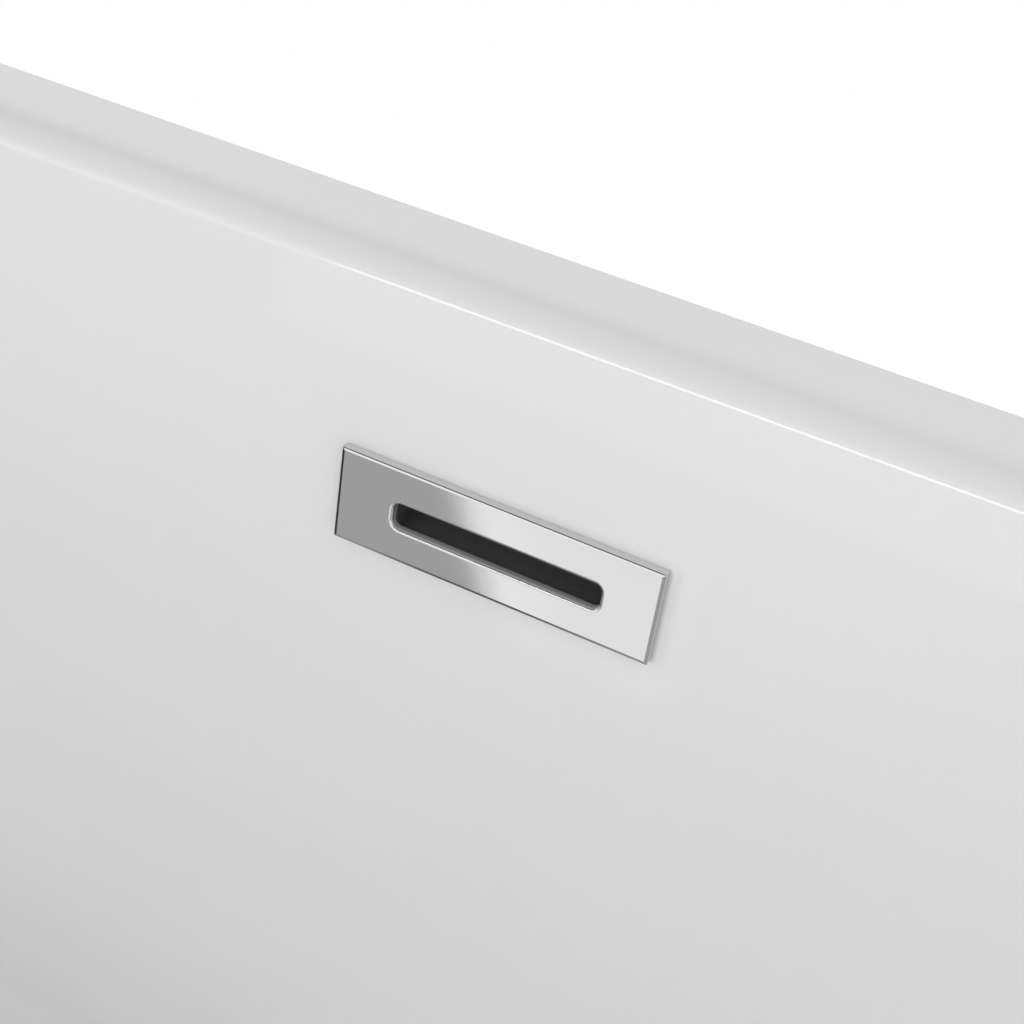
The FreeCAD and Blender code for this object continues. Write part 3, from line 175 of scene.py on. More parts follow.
def spread(mat, value, low, high, start=0.0, end=1.0):
    """A value that goes from low to high while another goes from start to end."""
    node = add(mat, "MapRange", {"From Min": start, "From Max": end, "To Min": low, "To Max": high})
    join(mat, value, node.inputs["Value"])
    return node.outputs["Result"]


def combine(mat, operation, first, second):
    """One value from two."""
    node = add(mat, "Math", operation=operation)
    join(mat, first, node.inputs[0])
    join(mat, second, node.inputs[1])
    return node.outputs["Value"]


def relief(mat, shader, height, distance):
    """Fine bumps up to a distance high."""
    node = add(mat, "Bump", {"Distance": distance, "Strength": 1.0})
    join(mat, height, node.inputs["Height"])
    join(mat, node.outputs["Normal"], shader.inputs["Normal"])


def grey(level):
    return (level, level, level)


# Finishes

def white_acrylic():
    """Glossy moulded acrylic, very slightly uneven in tone and gloss."""
    mat, shader = finish("white_acrylic", grey(0.80), 0.065, ior=1.49)
    vector = place(mat)
    tone = ramp(mat, noise(mat, vector, 6, 3), [(0.3, (0.790, 0.790, 0.789)), (0.7, (0.806, 0.806, 0.805))])
    join(mat, tone, shader.inputs["Base Color"])
    join(mat, spread(mat, noise(mat, vector, 40, 5), 0.04, 0.09), shader.inputs["Roughness"])
    relief(mat, shader, noise(mat, vector, 90, 2), 0.04 * MM)
    return mat


def chrome():
    """Polished chrome with a faint waviness."""
    mat, shader = finish("polished_chrome", grey(0.74), 0.06, metallic=1.0)
    vector = place(mat)
    join(mat, spread(mat, noise(mat, vector, 60, 6), 0.03, 0.09), shader.inputs["Roughness"])
    relief(mat, shader, noise(mat, vector, 120, 2), 0.008 * MM)
    return mat


def glass_fibre():
    """Chopped strands under resin: pale, uneven, rough."""
    mat, shader = finish("glass_fibre", (0.62, 0.66, 0.58), 0.5)
    vector = place(mat)
    tone = ramp(mat, noise(mat, vector, 30, 8, 0.7),
                [(0.25, (0.50, 0.55, 0.45)), (0.5, (0.62, 0.66, 0.57)), (0.8, (0.74, 0.76, 0.68))])
    join(mat, tone, shader.inputs["Base Color"])
    join(mat, spread(mat, noise(mat, vector, 80), 0.35, 0.7), shader.inputs["Roughness"])
    lengthways = place(mat, (1, 1, 0.35), (0.5, 0.4, 0.7))
    strands = cells(mat, lengthways, 95, "Distance", "DISTANCE_TO_EDGE")
    relief(mat, shader, combine(mat, "ADD", strands, noise(mat, vector, 150, 6, 0.7)), 1.2 * MM)
    return mat


def chipboard():
    """Pressed wood chips, each with its own tone."""
    mat, shader = finish("chipboard", (0.52, 0.38, 0.24), 0.75)
    vector = place(mat, (1, 1, 2.5))
    chips = channel(mat, cells(mat, vector, 160, "Color"), "Red")
    tone = ramp(mat, chips, [(0.1, (0.36, 0.25, 0.15)), (0.5, (0.52, 0.39, 0.25)), (0.9, (0.66, 0.53, 0.36))])
    join(mat, tone, shader.inputs["Base Color"])
    relief(mat, shader, noise(mat, vector, 260, 5), 0.4 * MM)
    return mat


def softwood(name, turn):
    """Planed softwood with its grain along the batten."""
    mat, shader = finish(name, (0.66, 0.50, 0.32), 0.6)
    rings = add(mat, "TexWave", {"Scale": 2.2, "Distortion": 5, "Detail": 3}, wave_type="RINGS",
                rings_direction="X")
    join(mat, place(mat, (1.2, 26, 26), (0, 0, turn)), rings.inputs["Vector"])
    grain = rings.outputs["Fac"]
    tone = ramp(mat, grain, [(0.1, (0.70, 0.54, 0.35)), (0.7, (0.60, 0.42, 0.24)), (1.0, (0.47, 0.30, 0.15))])
    join(mat, tone, shader.inputs["Base Color"])
    relief(mat, shader, grain, 0.2 * MM)
    return mat


def zinc(name, level, roughness, size):
    """Zinc plating with its patchy bloom."""
    mat, shader = finish(name, grey(level), roughness, metallic=1.0)
    vector = place(mat)
    patches = channel(mat, cells(mat, vector, size, "Color"), "Green")
    tone = ramp(mat, patches, [(0, grey(level - 0.06)), (1, grey(level + 0.06))])
    join(mat, tone, shader.inputs["Base Color"])
    gloss = spread(mat, noise(mat, vector, 70, 5), roughness - 0.1, roughness + 0.15)
    join(mat, gloss, shader.inputs["Roughness"])
    relief(mat, shader, noise(mat, vector, 400, 3), 0.03 * MM)
    return mat


def moulded(name, colour, roughness, grain=900):
    """Moulded plastic or rubber with a fine grain."""
    mat, shader = finish(name, colour, roughness)
    vector = place(mat)
    low, high = [tuple(c * f for c in colour) for f in (0.93, 1.06)]
    tone = ramp(mat, noise(mat, vector, 25), [(0.3, low), (0.7, high)])
    join(mat, tone, shader.inputs["Base Color"])
    gloss = spread(mat, noise(mat, vector, 120, 3), roughness - 0.08, roughness + 0.1)
    join(mat, gloss, shader.inputs["Roughness"])
    relief(mat, shader, noise(mat, vector, grain, 2), 0.05 * MM)
    return mat


def brass():
    """Turned brass with fine lines round it."""
    mat, shader = finish("turned_brass", (0.72, 0.55, 0.28), 0.25, metallic=1.0)
    lines = noise(mat, place(mat, (20, 20, 2000)), 1, 2)
    join(mat, spread(mat, lines, 0.18, 0.38), shader.inputs["Roughness"])
    relief(mat, shader, lines, 0.02 * MM)
    return mat


FINISHES = {
    "acrylic_white": white_acrylic(),
    "glass_fibre": glass_fibre(),
    "board": chipboard(),
    "timber": softwood("softwood_along", 0),
    "timber_across": softwood("softwood_across", math.pi / 2),
    "zinc_steel": zinc("zinc_sheet", 0.62, 0.36, 130),
    "screw_steel": zinc("bright_zinc", 0.68, 0.24, 500),
    "chrome": chrome(),
    # Dull grey for the slot's wall, also used as painted shade on the plate's lower soft edge
    "dull_wall_and_painted_shade": moulded("dull_wall_and_painted_shade", grey(0.34), 0.5),
    "dark_plastic": moulded("dark_plastic", grey(0.06), 0.45, 1400),
    "overflow_plastic": moulded("overflow_plastic", grey(0.15), 0.45, 1400),
    "pipe_plastic": moulded("pipe_plastic", (0.78, 0.78, 0.77), 0.38),
    "hose_plastic": moulded("hose_plastic", (0.66, 0.67, 0.67), 0.42),
    "rubber": moulded("rubber", grey(0.035), 0.7, 600),
    "brass": brass(),
}
OWN_FINISH = {
    "overflow_insert": "overflow_plastic",
    "rim_batten_left": "timber_across",
    "rim_batten_right": "timber_across",
}
SLOT_OF = {part["node"]: part["material_slot"] for part in frame["record"]["subparts"]}
BODY_OF = {n: body for body, members in frame["record"]["behaviour"]["bodies"].items() for n in members}


def finish_of(node):
    """A node's finish: its slot's, unless it has one of its own."""
    return FINISHES[OWN_FINISH.get(node, SLOT_OF[node])]


# Making pieces

def piece(name, bm, node, smooth=35):
    """Makes the mesh an object that stands for a solid, in its finish and on its body."""
    bmesh.ops.remove_doubles(bm, verts=bm.verts, dist=SAME_PLACE)
    bmesh.ops.recalc_face_normals(bm, faces=bm.faces)
    mesh = bpy.data.meshes.new(name)
    bm.to_mesh(mesh)
    bm.free()
    mesh.shade_smooth()
    mesh.set_sharp_from_angle(angle=math.radians(smooth))
    obj = bpy.data.objects.new(name, mesh)
    bpy.context.scene.collection.objects.link(obj)
    mesh.materials.append(finish_of(node))
    even = obj.modifiers.new("even_normals", "WEIGHTED_NORMAL")
    even.keep_sharp = True
    even.weight = 80
    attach(obj, BODY_OF[node])
    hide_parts(node)
    return obj


def in_turn(bm):
    """A flat mesh's points in turn round the upright axis, from its left side; the mesh is dropped."""
    points = sorted((v.co.copy() for v in bm.verts), key=lambda p: math.atan2(p.y, p.x))
    bm.free()
    return points


def ring_at(half_x, half_y, radii, z):
    """Points round a level rectangle whose corners have their own radii, from the middle of its left side.
    The radii go front left, front right, back right, back left."""
    bm = bmesh.new()
    corners = bmesh.ops.create_grid(bm, x_segments=1, y_segments=1, size=1)["verts"]
    bmesh.ops.scale(bm, vec=(half_x, half_y, 1), verts=corners)
    bmesh.ops.translate(bm, vec=(0, 0, z), verts=corners)
    for (x, y), radius in zip(((-1, -1), (1, -1), (1, 1), (-1, 1)), radii):
        at = Vector((x * half_x, y * half_y, z))
        vert = min(bm.verts, key=lambda v: (v.co - at).length)
        bmesh.ops.bevel(bm, geom=[vert], offset=radius, offset_type="OFFSET", affect="VERTICES",
                        segments=CORNER_STEPS, profile=0.5, material=-1)
    return in_turn(bm)


def round_ring(radius, centre, count):
    """Points round a level circle, from its left side."""
    bm = bmesh.new()
    bmesh.ops.create_circle(bm, segments=count, radius=radius)
    return [p + Vector(centre) for p in in_turn(bm)]


def waste_ring(z):
    """The edge of the hole for the waste, at a height."""
    return round_ring(WASTE_HOLE_R, (WASTE.x, WASTE.y, z), RING_POINTS)


def quarter_turn(radius, start=0.0, steps=6):
    """Pairs of inset and fall round a convex edge, from its top, or an angle past it, to its side."""
    angles = [start + (math.pi / 2 - start) * i / steps for i in range(steps + 1)]
    return [(radius * (1 - math.sin(a)), radius * (1 - math.cos(a))) for a in angles]


def skin(bm, rings):
    """One skin over a row of rings: each is extruded from the one before and set in place."""
    verts = bmesh.ops.create_circle(bm, segments=len(rings[0]), radius=1)["verts"]
    edges = list({e for v in verts for e in v.link_edges})
    for vert, at in zip(verts, rings[0]):
        vert.co = at
    for ring in rings[1:]:
        made = bmesh.ops.extrude_edge_only(bm, edges=edges)["geom"]
        fresh = {g for g in made if isinstance(g, bmesh.types.BMVert)}
        edges = [g for g in made if isinstance(g, bmesh.types.BMEdge) and fresh.issuperset(g.verts)]
        verts = [next(e.other_vert(v) for e in v.link_edges if e.other_vert(v) in fresh) for v in verts]
        for vert, at in zip(verts, ring):
            vert.co = at
    bmesh.ops.remove_doubles(bm, verts=bm.verts, dist=SAME_PLACE)


# Tub shell

def fillet_inset(up, slope, radius):
    """How far the floor's fillet stands in from the straight wall, at a height above the floor."""
    if up >= radius * (1 - math.sin(slope)):
        return 0.0
    centre = radius * math.tan(slope) - radius / math.cos(slope)
    reach = math.sqrt(max(0.0, radius ** 2 - (radius - up) ** 2))
    return up * math.tan(slope) - centre - reach


def basin_ring(z, grow=0.0):
    """The basin's outline at a height, on the inside or grown outwards to the back of the sheet."""
    drop = EDGE_Z - z
    share = drop / (EDGE_Z - FLOOR_Z)
    up = z - (FLOOR_Z - grow)
    radius = FLOOR_FILLET_R + grow
    inset_x, inset_y = fillet_inset(up, END_SLOPE, radius), fillet_inset(up, SIDE_SLOPE, radius)
    half_x = MOUTH_X - drop * math.tan(END_SLOPE) + grow / math.cos(END_SLOPE) - inset_x
    half_y = MOUTH_Y - drop * math.tan(SIDE_SLOPE) + grow / math.cos(SIDE_SLOPE) - inset_y
    tighter = grow - (inset_x + inset_y) / 2
    corner = CORNER_TOP_R + (CORNER_FLOOR_R - CORNER_TOP_R) * share + tighter
    free = FREE_TOP_R + (FREE_FLOOR_R - FREE_TOP_R) * share + tighter
    return ring_at(half_x, half_y, (corner, free, corner, corner), z)


def mouth_ring(out, z):
    """The mouth's outline, moved outwards over the rim."""
    corner, free = CORNER_TOP_R + out, FREE_TOP_R + out
    return ring_at(MOUTH_X + out, MOUTH_Y + out, (corner, free, corner, corner), z)


def outline_ring(inset, z):
    """The tub's outer outline, moved inwards."""
    corner, free = max(WALL_CORNER_R - inset, 2 * MM), FREE_CORNER_R - inset
    return ring_at(HALF_LENGTH - inset, HALF_WIDTH - inset, (corner, free, corner, corner), z)


def between(first, last, share, z):
    """A ring part of the way from one to another, at its own height."""
    return [Vector((*a.lerp(b, share).xy, z)) for a, b in zip(first, last)]


def basin_levels(grow):
    """Heights of the rings from the floor up the fillet to the wall."""
    radius = FLOOR_FILLET_R + grow
    steps = 14
    angles = [math.pi / 2 - (math.pi / 2 - SIDE_SLOPE) * i / steps for i in range(steps + 1)]
    return [FLOOR_Z - grow + radius * (1 - math.sin(a)) for a in angles]


def rim_height(out):
    """The rim's height at a distance out from the basin: it rolls up to a crest and falls a little beyond."""
    if out < CREST:
        return RIM_Z - ROLL_DROP * (1 - out / CREST) ** 4
    return RIM_Z - CREST_FALL * ((out - CREST) / (RIM_WIDTH - CREST)) ** 2


def soft_turn(start, corner, end, steps=5):
    """Points of a smooth turn from start to end, drawn in to a corner."""
    def at(share):
        near, middle, far = (1 - share) ** 2, 2 * share * (1 - share), share ** 2
        return [near * a + middle * b + far * c for a, b, c in zip(start, corner, end)]

    return [at(i / steps) for i in range(1, steps)]


def rim_rings():
    """The turn from the wall, the roll, and the rim as far as its outer edge."""
    wall_end = (-ROLL_TURN * math.tan(SIDE_SLOPE), EDGE_Z - ROLL_TURN)
    roll_start = (ROLL_TURN, rim_height(ROLL_TURN))
    rings = [mouth_ring(out, z) for out, z in soft_turn(wall_end, (0, EDGE_Z), roll_start)]
    steps = 7
    roll = [ROLL_TURN + (ROLL_WIDTH - ROLL_TURN) * i / steps for i in range(steps + 1)]
    rings += [mouth_ring(out, rim_height(out)) for out in roll]
    inner, outer = rings[-1], outline_ring(OUTER_EDGE_R, RIM_Z)
    for share in (i / steps for i in range(1, steps)):
        rings.append(between(inner, outer, share, rim_height(ROLL_WIDTH + RIM_FLAT * share)))
    return rings


def lip_rings():
    """The rim's rounded outer edge and the lip that hangs from it, outside and inside."""
    brow = rim_height(ROLL_WIDTH + RIM_FLAT)
    rings = [outline_ring(inset, brow - fall) for inset, fall in quarter_turn(OUTER_EDGE_R)]
    edge, turn, under = 1 * MM, 4 * MM, RIM_Z - SHEET
    corners = [(0, LIP_Z + edge), (edge, LIP_Z), (SHEET - edge, LIP_Z), (SHEET, LIP_Z + edge),
               (SHEET, under - turn), (SHEET + turn, under)]
    return rings + [outline_ring(inset, z) for inset, z in corners]


def make_tub():
    """The shell as one skin: waste hole, floor, wall, rim and lip, and then back behind the sheet."""
    back_of_roll = 9 * MM
    hole = waste_ring(FLOOR_Z)
    rings = [hole] + [basin_ring(z) for z in basin_levels(0) + [EDGE_Z - ROLL_TURN]]
    rings += rim_rings() + lip_rings()
    rings += [mouth_ring(ROLL_WIDTH, RIM_Z - SHEET), basin_ring(EDGE_Z - back_of_roll, SHEET)]
    rings += [basin_ring(z, SHEET) for z in reversed(basin_levels(SHEET))]
    bm = bmesh.new()
    skin(bm, rings + [waste_ring(FLOOR_Z - SHEET), hole])
    open_overflow(bm)
    return piece("tub", bm, "tub_shell")


def open_overflow(bm):
    """Cuts the overflow's hole through both faces of the back wall and joins its sides."""
    low, high = OVERFLOW.z - OVERFLOW_HOLE_Z, OVERFLOW.z + OVERFLOW_HOLE_Z
    nearest, farthest = MOUTH_Y - 60 * MM, MOUTH_Y + 12 * MM

    def back_wall():
        bm.normal_update()
        return [f for f in bm.faces if abs(f.normal.y) > 0.9 and abs(f.normal.z) > 0.1
                and nearest < f.calc_center_median().y < farthest]

    def in_hole(at):
        return abs(at.x) < OVERFLOW_HOLE_X and low < at.z < high

    for at, across in (((OVERFLOW_HOLE_X, 0, 0), (1, 0, 0)), ((-OVERFLOW_HOLE_X, 0, 0), (1, 0, 0)),
                       ((0, 0, low), (0, 0, 1)), ((0, 0, high), (0, 0, 1))):
        wall = back_wall()
        geom = wall + list({e for f in wall for e in f.edges}) + list({v for f in wall for v in f.verts})
        bmesh.ops.bisect_plane(bm, geom=geom, plane_co=at, plane_no=across)
    gone = [f for f in back_wall() if in_hole(f.calc_center_median())]
    edges = [e for e in {e for f in gone for e in f.edges} if any(f not in gone for f in e.link_faces)]
    bmesh.ops.delete(bm, geom=gone, context="FACES")
    bmesh.ops.bridge_loops(bm, edges=edges)


# Overflow cover plate

def make_cover_plate():
    """Chrome cover, hollow behind: a shallow bevel, a rounded edge and a soft-edged slot with a dull wall;
    the dull grey also covers part of the lower soft edge as painted shade.
    """
    half_x, half_y, depth = 60 * MM, 18 * MM, 3.7 * MM
    face, wall = 2.2 * MM, 3.2 * MM
    bevel, tilt, edge_r = 0.6 * MM, math.radians(8), 0.55 * MM
    corner_r, pocket_r, hold = 0.5 * MM, 0.3 * MM, 0.1 * MM
    slot_x, slot_y, slot_r = 39 * MM, 4.8 * MM, 2.8 * MM
    slot_at = Vector((0.8 * MM, -0.4 * MM, 0))
    soft, sink, soft_steps = 1.4 * MM, 1.0 * MM, 8
    collar, collar_z = 0.6 * MM, depth - 2.8 * MM

    def plate_ring(inset, radius, z):
        return ring_at(half_x - inset, half_y - inset, (radius,) * 4, z)

    def slot_ring(grow, z):
        ring = ring_at(slot_x + grow, slot_y + grow, (slot_r + grow,) * 4, z)
        return [at + slot_at for at in ring]

    def soft_edge(angle):
        """How wide and how high the slot's edge is at an angle, from its wall to the plate's face."""
        return soft * (1 - math.cos(angle)), depth - sink + sink * math.sin(angle)

    def is_dull_or_painted_shade(f):
        """The slot's wall is dull, and on the lower side the inner half of its soft edge gets the same dull
        grey, as painted shade.
        """
        spots = [v.co - slot_at for v in f.verts]
        lower_side = all(p.y < -slot_y / 2 for p in spots)
        out, top = [size + 0.001 * MM for size in soft_edge(math.pi / 4 if lower_side else 0)]
        return all(p.z < top and abs(p.x) < slot_x + out and abs(p.y) < slot_y + out for p in spots)

    rings = [slot_ring(0, collar_z)]
    rings += [slot_ring(*soft_edge(math.pi / 2 * i / soft_steps)) for i in range(soft_steps + 1)]
    rings.append(slot_ring(soft + hold, depth))
    start = edge_r * (1 - math.sin(tilt)) + bevel
    rings += [plate_ring(start + hold, corner_r - hold, depth), plate_ring(start, corner_r, depth)]
    brow = depth - bevel * math.tan(tilt) + edge_r * (1 - math.cos(tilt))
    rings += [plate_ring(inset, corner_r, brow - fall) for inset, fall in quarter_turn(edge_r, tilt)]
    rings += [plate_ring(0, corner_r, hold), plate_ring(hold, corner_r - hold, 0)]
    rings += [plate_ring(wall, pocket_r, z) for z in (0, depth - face)]
    rings += [slot_ring(collar, z) for z in (depth - face, collar_z)]
    bm = bmesh.new()
    skin(bm, rings + rings[:1])
    # Dull grey on the slot's wall, and painted shade on the inner half of the lower soft edge
    for f in bm.faces:
        f.material_index = 1 if is_dull_or_painted_shade(f) else 0
    bmesh.ops.transform(bm, matrix=ON_WALL, verts=bm.verts)
    plate = piece("cover_plate", bm, "overflow_plate", 20)
    # The second finish: dull grey for the slot's wall, and painted shade on the lower soft edge
    plate.data.materials.append(FINISHES["dull_wall_and_painted_shade"])
    return plate


# Glass-fibre backing

def make_backing():
    """The sprayed coat behind the basin: an uneven outer face on a thin shell."""
    coat, back = SHEET + GLASSFIBRE, SHEET + 0.1 * MM
    top, wall_steps = RIM_Z - SHEET, 11
    levels = basin_levels(coat)
    climb = [levels[-1] + (top - levels[-1]) * i / wall_steps for i in range(1, wall_steps + 1)]
    outer = [basin_ring(z, coat) for z in levels[::2] + climb]
    inner = [basin_ring(z, back) for z in [top] + basin_levels(back)[::-2]]
    low_hole, high_hole = waste_ring(FLOOR_Z - coat), waste_ring(FLOOR_Z - back)
    bm = bmesh.new()
    skin(bm, [low_hole] + outer + inner + [high_hole, low_hole])
    for longest, cuts in ((800 * MM, 22), (200 * MM, 6)):
        level = [e for e in bm.edges if abs(e.verts[0].co.z - e.verts[1].co.z) < 0.001 * MM]
        long = [e for e in level if e.calc_length() > longest]
        bmesh.ops.subdivide_edges(bm, edges=long, cuts=cuts, use_grid_fill=True)
    open_overflow(bm)
    backing = piece("fibre_backing", bm, "glassfibre_backing", 60)
    finer = backing.modifiers.new("finer", "SUBSURF")
    finer.subdivision_type = "SIMPLE"
    finer.levels = finer.render_levels = 2
    lumps = bpy.data.textures.new("sprayed_lumps", "CLOUDS")
    lumps.noise_scale = 35 * MM
    lumps.noise_depth = 3
    sprayed = backing.modifiers.new("sprayed", "DISPLACE")
    sprayed.texture = lumps
    sprayed.texture_coords = "LOCAL"
    sprayed.mid_level = 1.0
    sprayed.strength = 2 * MM
    return backing


# Corrugated hose

HOSE_BEND_R = 70 * MM
HOSE_START = ON_WALL @ Vector((0, -34.6 * MM, -28 * MM))
HOSE_INLET = Vector((0, 134.2 * MM, 115 * MM))
HOSE_LEAN = math.pi - SIDE_SLOPE
HOSE_TURN = HOSE_LEAN - math.pi / 2
HOSE_RUN = (HOSE_START.z - HOSE_INLET.z) / math.cos(SIDE_SLOPE) - HOSE_BEND_R * math.tan(HOSE_TURN / 2)
HOSE_CENTRE = HOSE_START + Matrix.Rotation(HOSE_LEAN, 3, "X") @ Vector((0, HOSE_BEND_R, HOSE_RUN))
HOSE_LENGTH = HOSE_RUN + HOSE_BEND_R * HOSE_TURN + HOSE_CENTRE.y - HOSE_INLET.y


def hose_ring(distance, radius):
    """A ring square to the hose's axis: down behind the wall, round a bend and level to the waste."""
    past = distance - HOSE_RUN
    angle = HOSE_LEAN - min(max(past / HOSE_BEND_R, 0), HOSE_TURN)
    along = min(past, 0) + max(past - HOSE_BEND_R * HOSE_TURN, 0)
    turn = Matrix.Translation(HOSE_CENTRE) @ Matrix.Rotation(angle, 4, "X")
    return [turn @ at for at in round_ring(radius, (0, -HOSE_BEND_R, along), 40)]


def make_hose():
    """Plain cuffs at both ends and rounded ribs between them, open inside."""
    valley, crest, bore = 14.1 * MM, 16.5 * MM, 12.5 * MM
    cuff, cuff_length, lip = 17.3 * MM, 24 * MM, 0.5 * MM
    sleeve, sleeve_length = 15.7 * MM, 22 * MM
    ribs, rib_steps, bore_steps = 75, 9, 30
    pitch = (HOSE_LENGTH - 2 * cuff_length) / ribs
    end = [(0, sleeve), (0, cuff - lip), (lip, cuff), (cuff_length - lip, cuff), (cuff_length, cuff - lip)]
    outside = list(end)
    for i in range(ribs * rib_steps):
        step = (i + 0.5) / rib_steps
        swell = (0.5 - 0.5 * math.cos(2 * math.pi * step)) ** 0.6
        outside.append((cuff_length + pitch * step, valley + (crest - valley) * swell))
    outside += [(HOSE_LENGTH - d, r) for d, r in reversed(end)]
    far_sleeve = HOSE_LENGTH - sleeve_length
    inside = [(far_sleeve, sleeve), (far_sleeve, bore)]
    inside += [(HOSE_LENGTH * i / bore_steps, bore) for i in range(bore_steps - 2, 2, -1)]
    inside += [(sleeve_length, bore), (sleeve_length, sleeve)]
    bm = bmesh.new()
    skin(bm, [hose_ring(d, r) for d, r in outside + inside + outside[:1]])
    return piece("ribbed_hose", bm, "overflow_hose", 50)


# Turned and threaded pieces

def edge_view(bm, points):
    """A row of joined points, given as distances from an upright axis and heights."""
    vert = bmesh.ops.create_vert(bm, co=(points[0][0], 0, points[0][1]))["vert"][0]
    row = [vert]
    for out, z in points[1:]:
        vert = bmesh.ops.extrude_vert_indiv(bm, verts=[vert])["verts"][0]
        vert.co = (out, 0, z)
        row.append(vert)
    return row + list(bm.edges)


def make_plug_cap():
    """Chrome cap with a shallow dome and a rounded edge, on a boss."""
    low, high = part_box("plug_cap")
    radius, boss = (high[0] - low[0]) / 2, 16.5 * MM
    dome, dome_steps, edge, lower_edge = 1.2 * MM, 8, 1.5 * MM, 0.3 * MM
    brow, under = high[2] - dome, low[2] + 5 * MM
    points = []
    for share in (i / dome_steps for i in range(dome_steps + 1)):
        points.append(((radius - edge) * share, brow + dome * (1 - share ** 2)))
    points += [(radius - inset, brow - fall) for inset, fall in quarter_turn(edge)[1:]]
    points += [(radius, under + lower_edge), (radius - lower_edge, under)]
    points += [(boss, under), (boss, low[2]), (0, low[2])]
    bm = bmesh.new()
    bmesh.ops.spin(bm, geom=edge_view(bm, points), cent=(0, 0, 0), axis=(0, 0, 1), angle=2 * math.pi,
                   steps=96, use_merge=True)
    bmesh.ops.translate(bm, vec=WASTE, verts=bm.verts)
    return piece("plug_dome", bm, "plug_cap")


def make_stud(foot):
    """Threaded stud: a row of teeth spun once round and lifted by one pitch."""
    node = "foot_stud_" + foot
    low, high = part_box(node)
    crest, root, pitch, steps = (high[0] - low[0]) / 2, 5 * MM, 1.75 * MM, 20
    crest_start, crest_end = 0.45 * pitch, 0.58 * pitch
    turns = int((high[2] - low[2]) / pitch) - 1
    teeth = []
    for z in (low[2] + i * pitch for i in range(turns)):
        teeth += [(root, z), (crest, z + crest_start), (crest, z + crest_end)]
    teeth.append((root, low[2] + turns * pitch))
    bm = bmesh.new()
    bmesh.ops.spin(bm, geom=edge_view(bm, teeth), cent=(0, 0, 0), axis=(0, 0, 1), dvec=(0, 0, pitch / steps),
                   angle=2 * math.pi, steps=steps)
    bmesh.ops.remove_doubles(bm, verts=bm.verts, dist=0.001 * MM)
    bmesh.ops.holes_fill(bm, edges=[e for e in bm.edges if e.is_boundary])
    bmesh.ops.translate(bm, vec=((low[0] + high[0]) / 2, (low[1] + high[1]) / 2, 0), verts=bm.verts)
    return piece("threaded_stud_" + foot, bm, node, 25)


def make_spring():
    """Steel coil in the plug's barrel: a round wire spun upwards."""
    low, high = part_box("plug_spring")
    wire, coil, turns, steps, gap = 0.5 * MM, 5.3 * MM, 7, 24, 0.1 * MM
    lift = high[2] - low[2] - 2 * wire - 2 * gap
    bm = bmesh.new()
    section = bmesh.ops.create_circle(bm, segments=10, radius=wire, cap_ends=True)["verts"]
    bmesh.ops.rotate(bm, verts=section, cent=(0, 0, 0), matrix=Matrix.Rotation(math.pi / 2, 3, "X"))
    bmesh.ops.translate(bm, verts=section, vec=(coil, 0, low[2] + wire + gap))
    bmesh.ops.spin(bm, geom=list(bm.faces) + list(bm.edges) + section, cent=(0, 0, 0), axis=(0, 0, 1),
                   dvec=(0, 0, lift / (turns * steps)), angle=2 * math.pi * turns, steps=turns * steps)
    bmesh.ops.translate(bm, vec=WASTE, verts=bm.verts)
    return piece("coil_spring", bm, "plug_spring", 60)


# Copies of solids with rounded edges

EDGE_ROUNDING = {
    "acrylic_white": 1.5 * MM,
    "board": 0.8 * MM,
    "timber": 1.5 * MM,
    "zinc_steel": 0.6 * MM,
    "screw_steel": 0.25 * MM,
    "chrome": 0.3 * MM,
    "dark_plastic": 0.4 * MM,
    "pipe_plastic": 0.6 * MM,
    "rubber": 0.3 * MM,
    "brass": 0.25 * MM,
}


def make_softened(node):
    """A copy of a solid, its triangles joined into whole faces and its sharp edges rounded."""
    bm = bmesh.new()
    bm.from_mesh(nodes[node].data)
    bmesh.ops.remove_doubles(bm, verts=bm.verts, dist=0.001 * MM)
    bmesh.ops.dissolve_limit(bm, angle_limit=math.radians(0.5), verts=bm.verts, edges=bm.edges)
    sharp = [e for e in bm.edges if e.is_manifold and e.calc_face_angle() > math.radians(35)]
    bmesh.ops.bevel(bm, geom=sharp, offset=EDGE_ROUNDING[SLOT_OF[node]], offset_type="OFFSET", affect="EDGES",
                    segments=3, profile=0.5, material=-1, clamp_overlap=True)
    return piece("soft_" + node, bm, node)


# All pieces

FEET = [row + side for row in ("front_", "back_") for side in ("left", "middle", "right")]
MAKERS = {
    "tub_shell": make_tub,
    "overflow_plate": make_cover_plate,
    "glassfibre_backing": make_backing,
    "overflow_hose": make_hose,
    "plug_cap": make_plug_cap,
    "plug_spring": make_spring,
}
for name, node in nodes.items():
    node.data.materials.clear()
    node.data.materials.append(finish_of(name))
for make in MAKERS.values():
    make()
for foot in FEET:
    make_stud(foot)
for name in nodes:
    if name not in MAKERS and not name.startswith("foot_stud_"):
        make_softened(name)


# Stage

def stand(name, bm, mat):
    """A piece of the studio: the floor, or a card that is only seen in reflections."""
    mesh = bpy.data.meshes.new(name)
    bm.to_mesh(mesh)
    bm.free()
    obj = bpy.data.objects.new(name, mesh)
    bpy.context.scene.collection.objects.link(obj)
    mesh.materials.append(mat)
    return obj


def surface(mat):
    """The input that takes a material's finished shader."""
    return mat.node_tree.nodes["Material Output"].inputs["Surface"]


def blend(mat, share, first, second):
    """Sets the material's surface to the first shader, with a share of the second."""
    mix = add(mat, "MixShader")
    join(mat, share, mix.inputs["Fac"])
    join(mat, first, mix.inputs[1])
    join(mat, second, mix.inputs[2])
    join(mat, mix.outputs["Shader"], surface(mat))


def glow(mat, level):
    """A plain light of one tone."""
    return add(mat, "Emission", {"Color": (*grey(level), 1)}).outputs["Emission"]


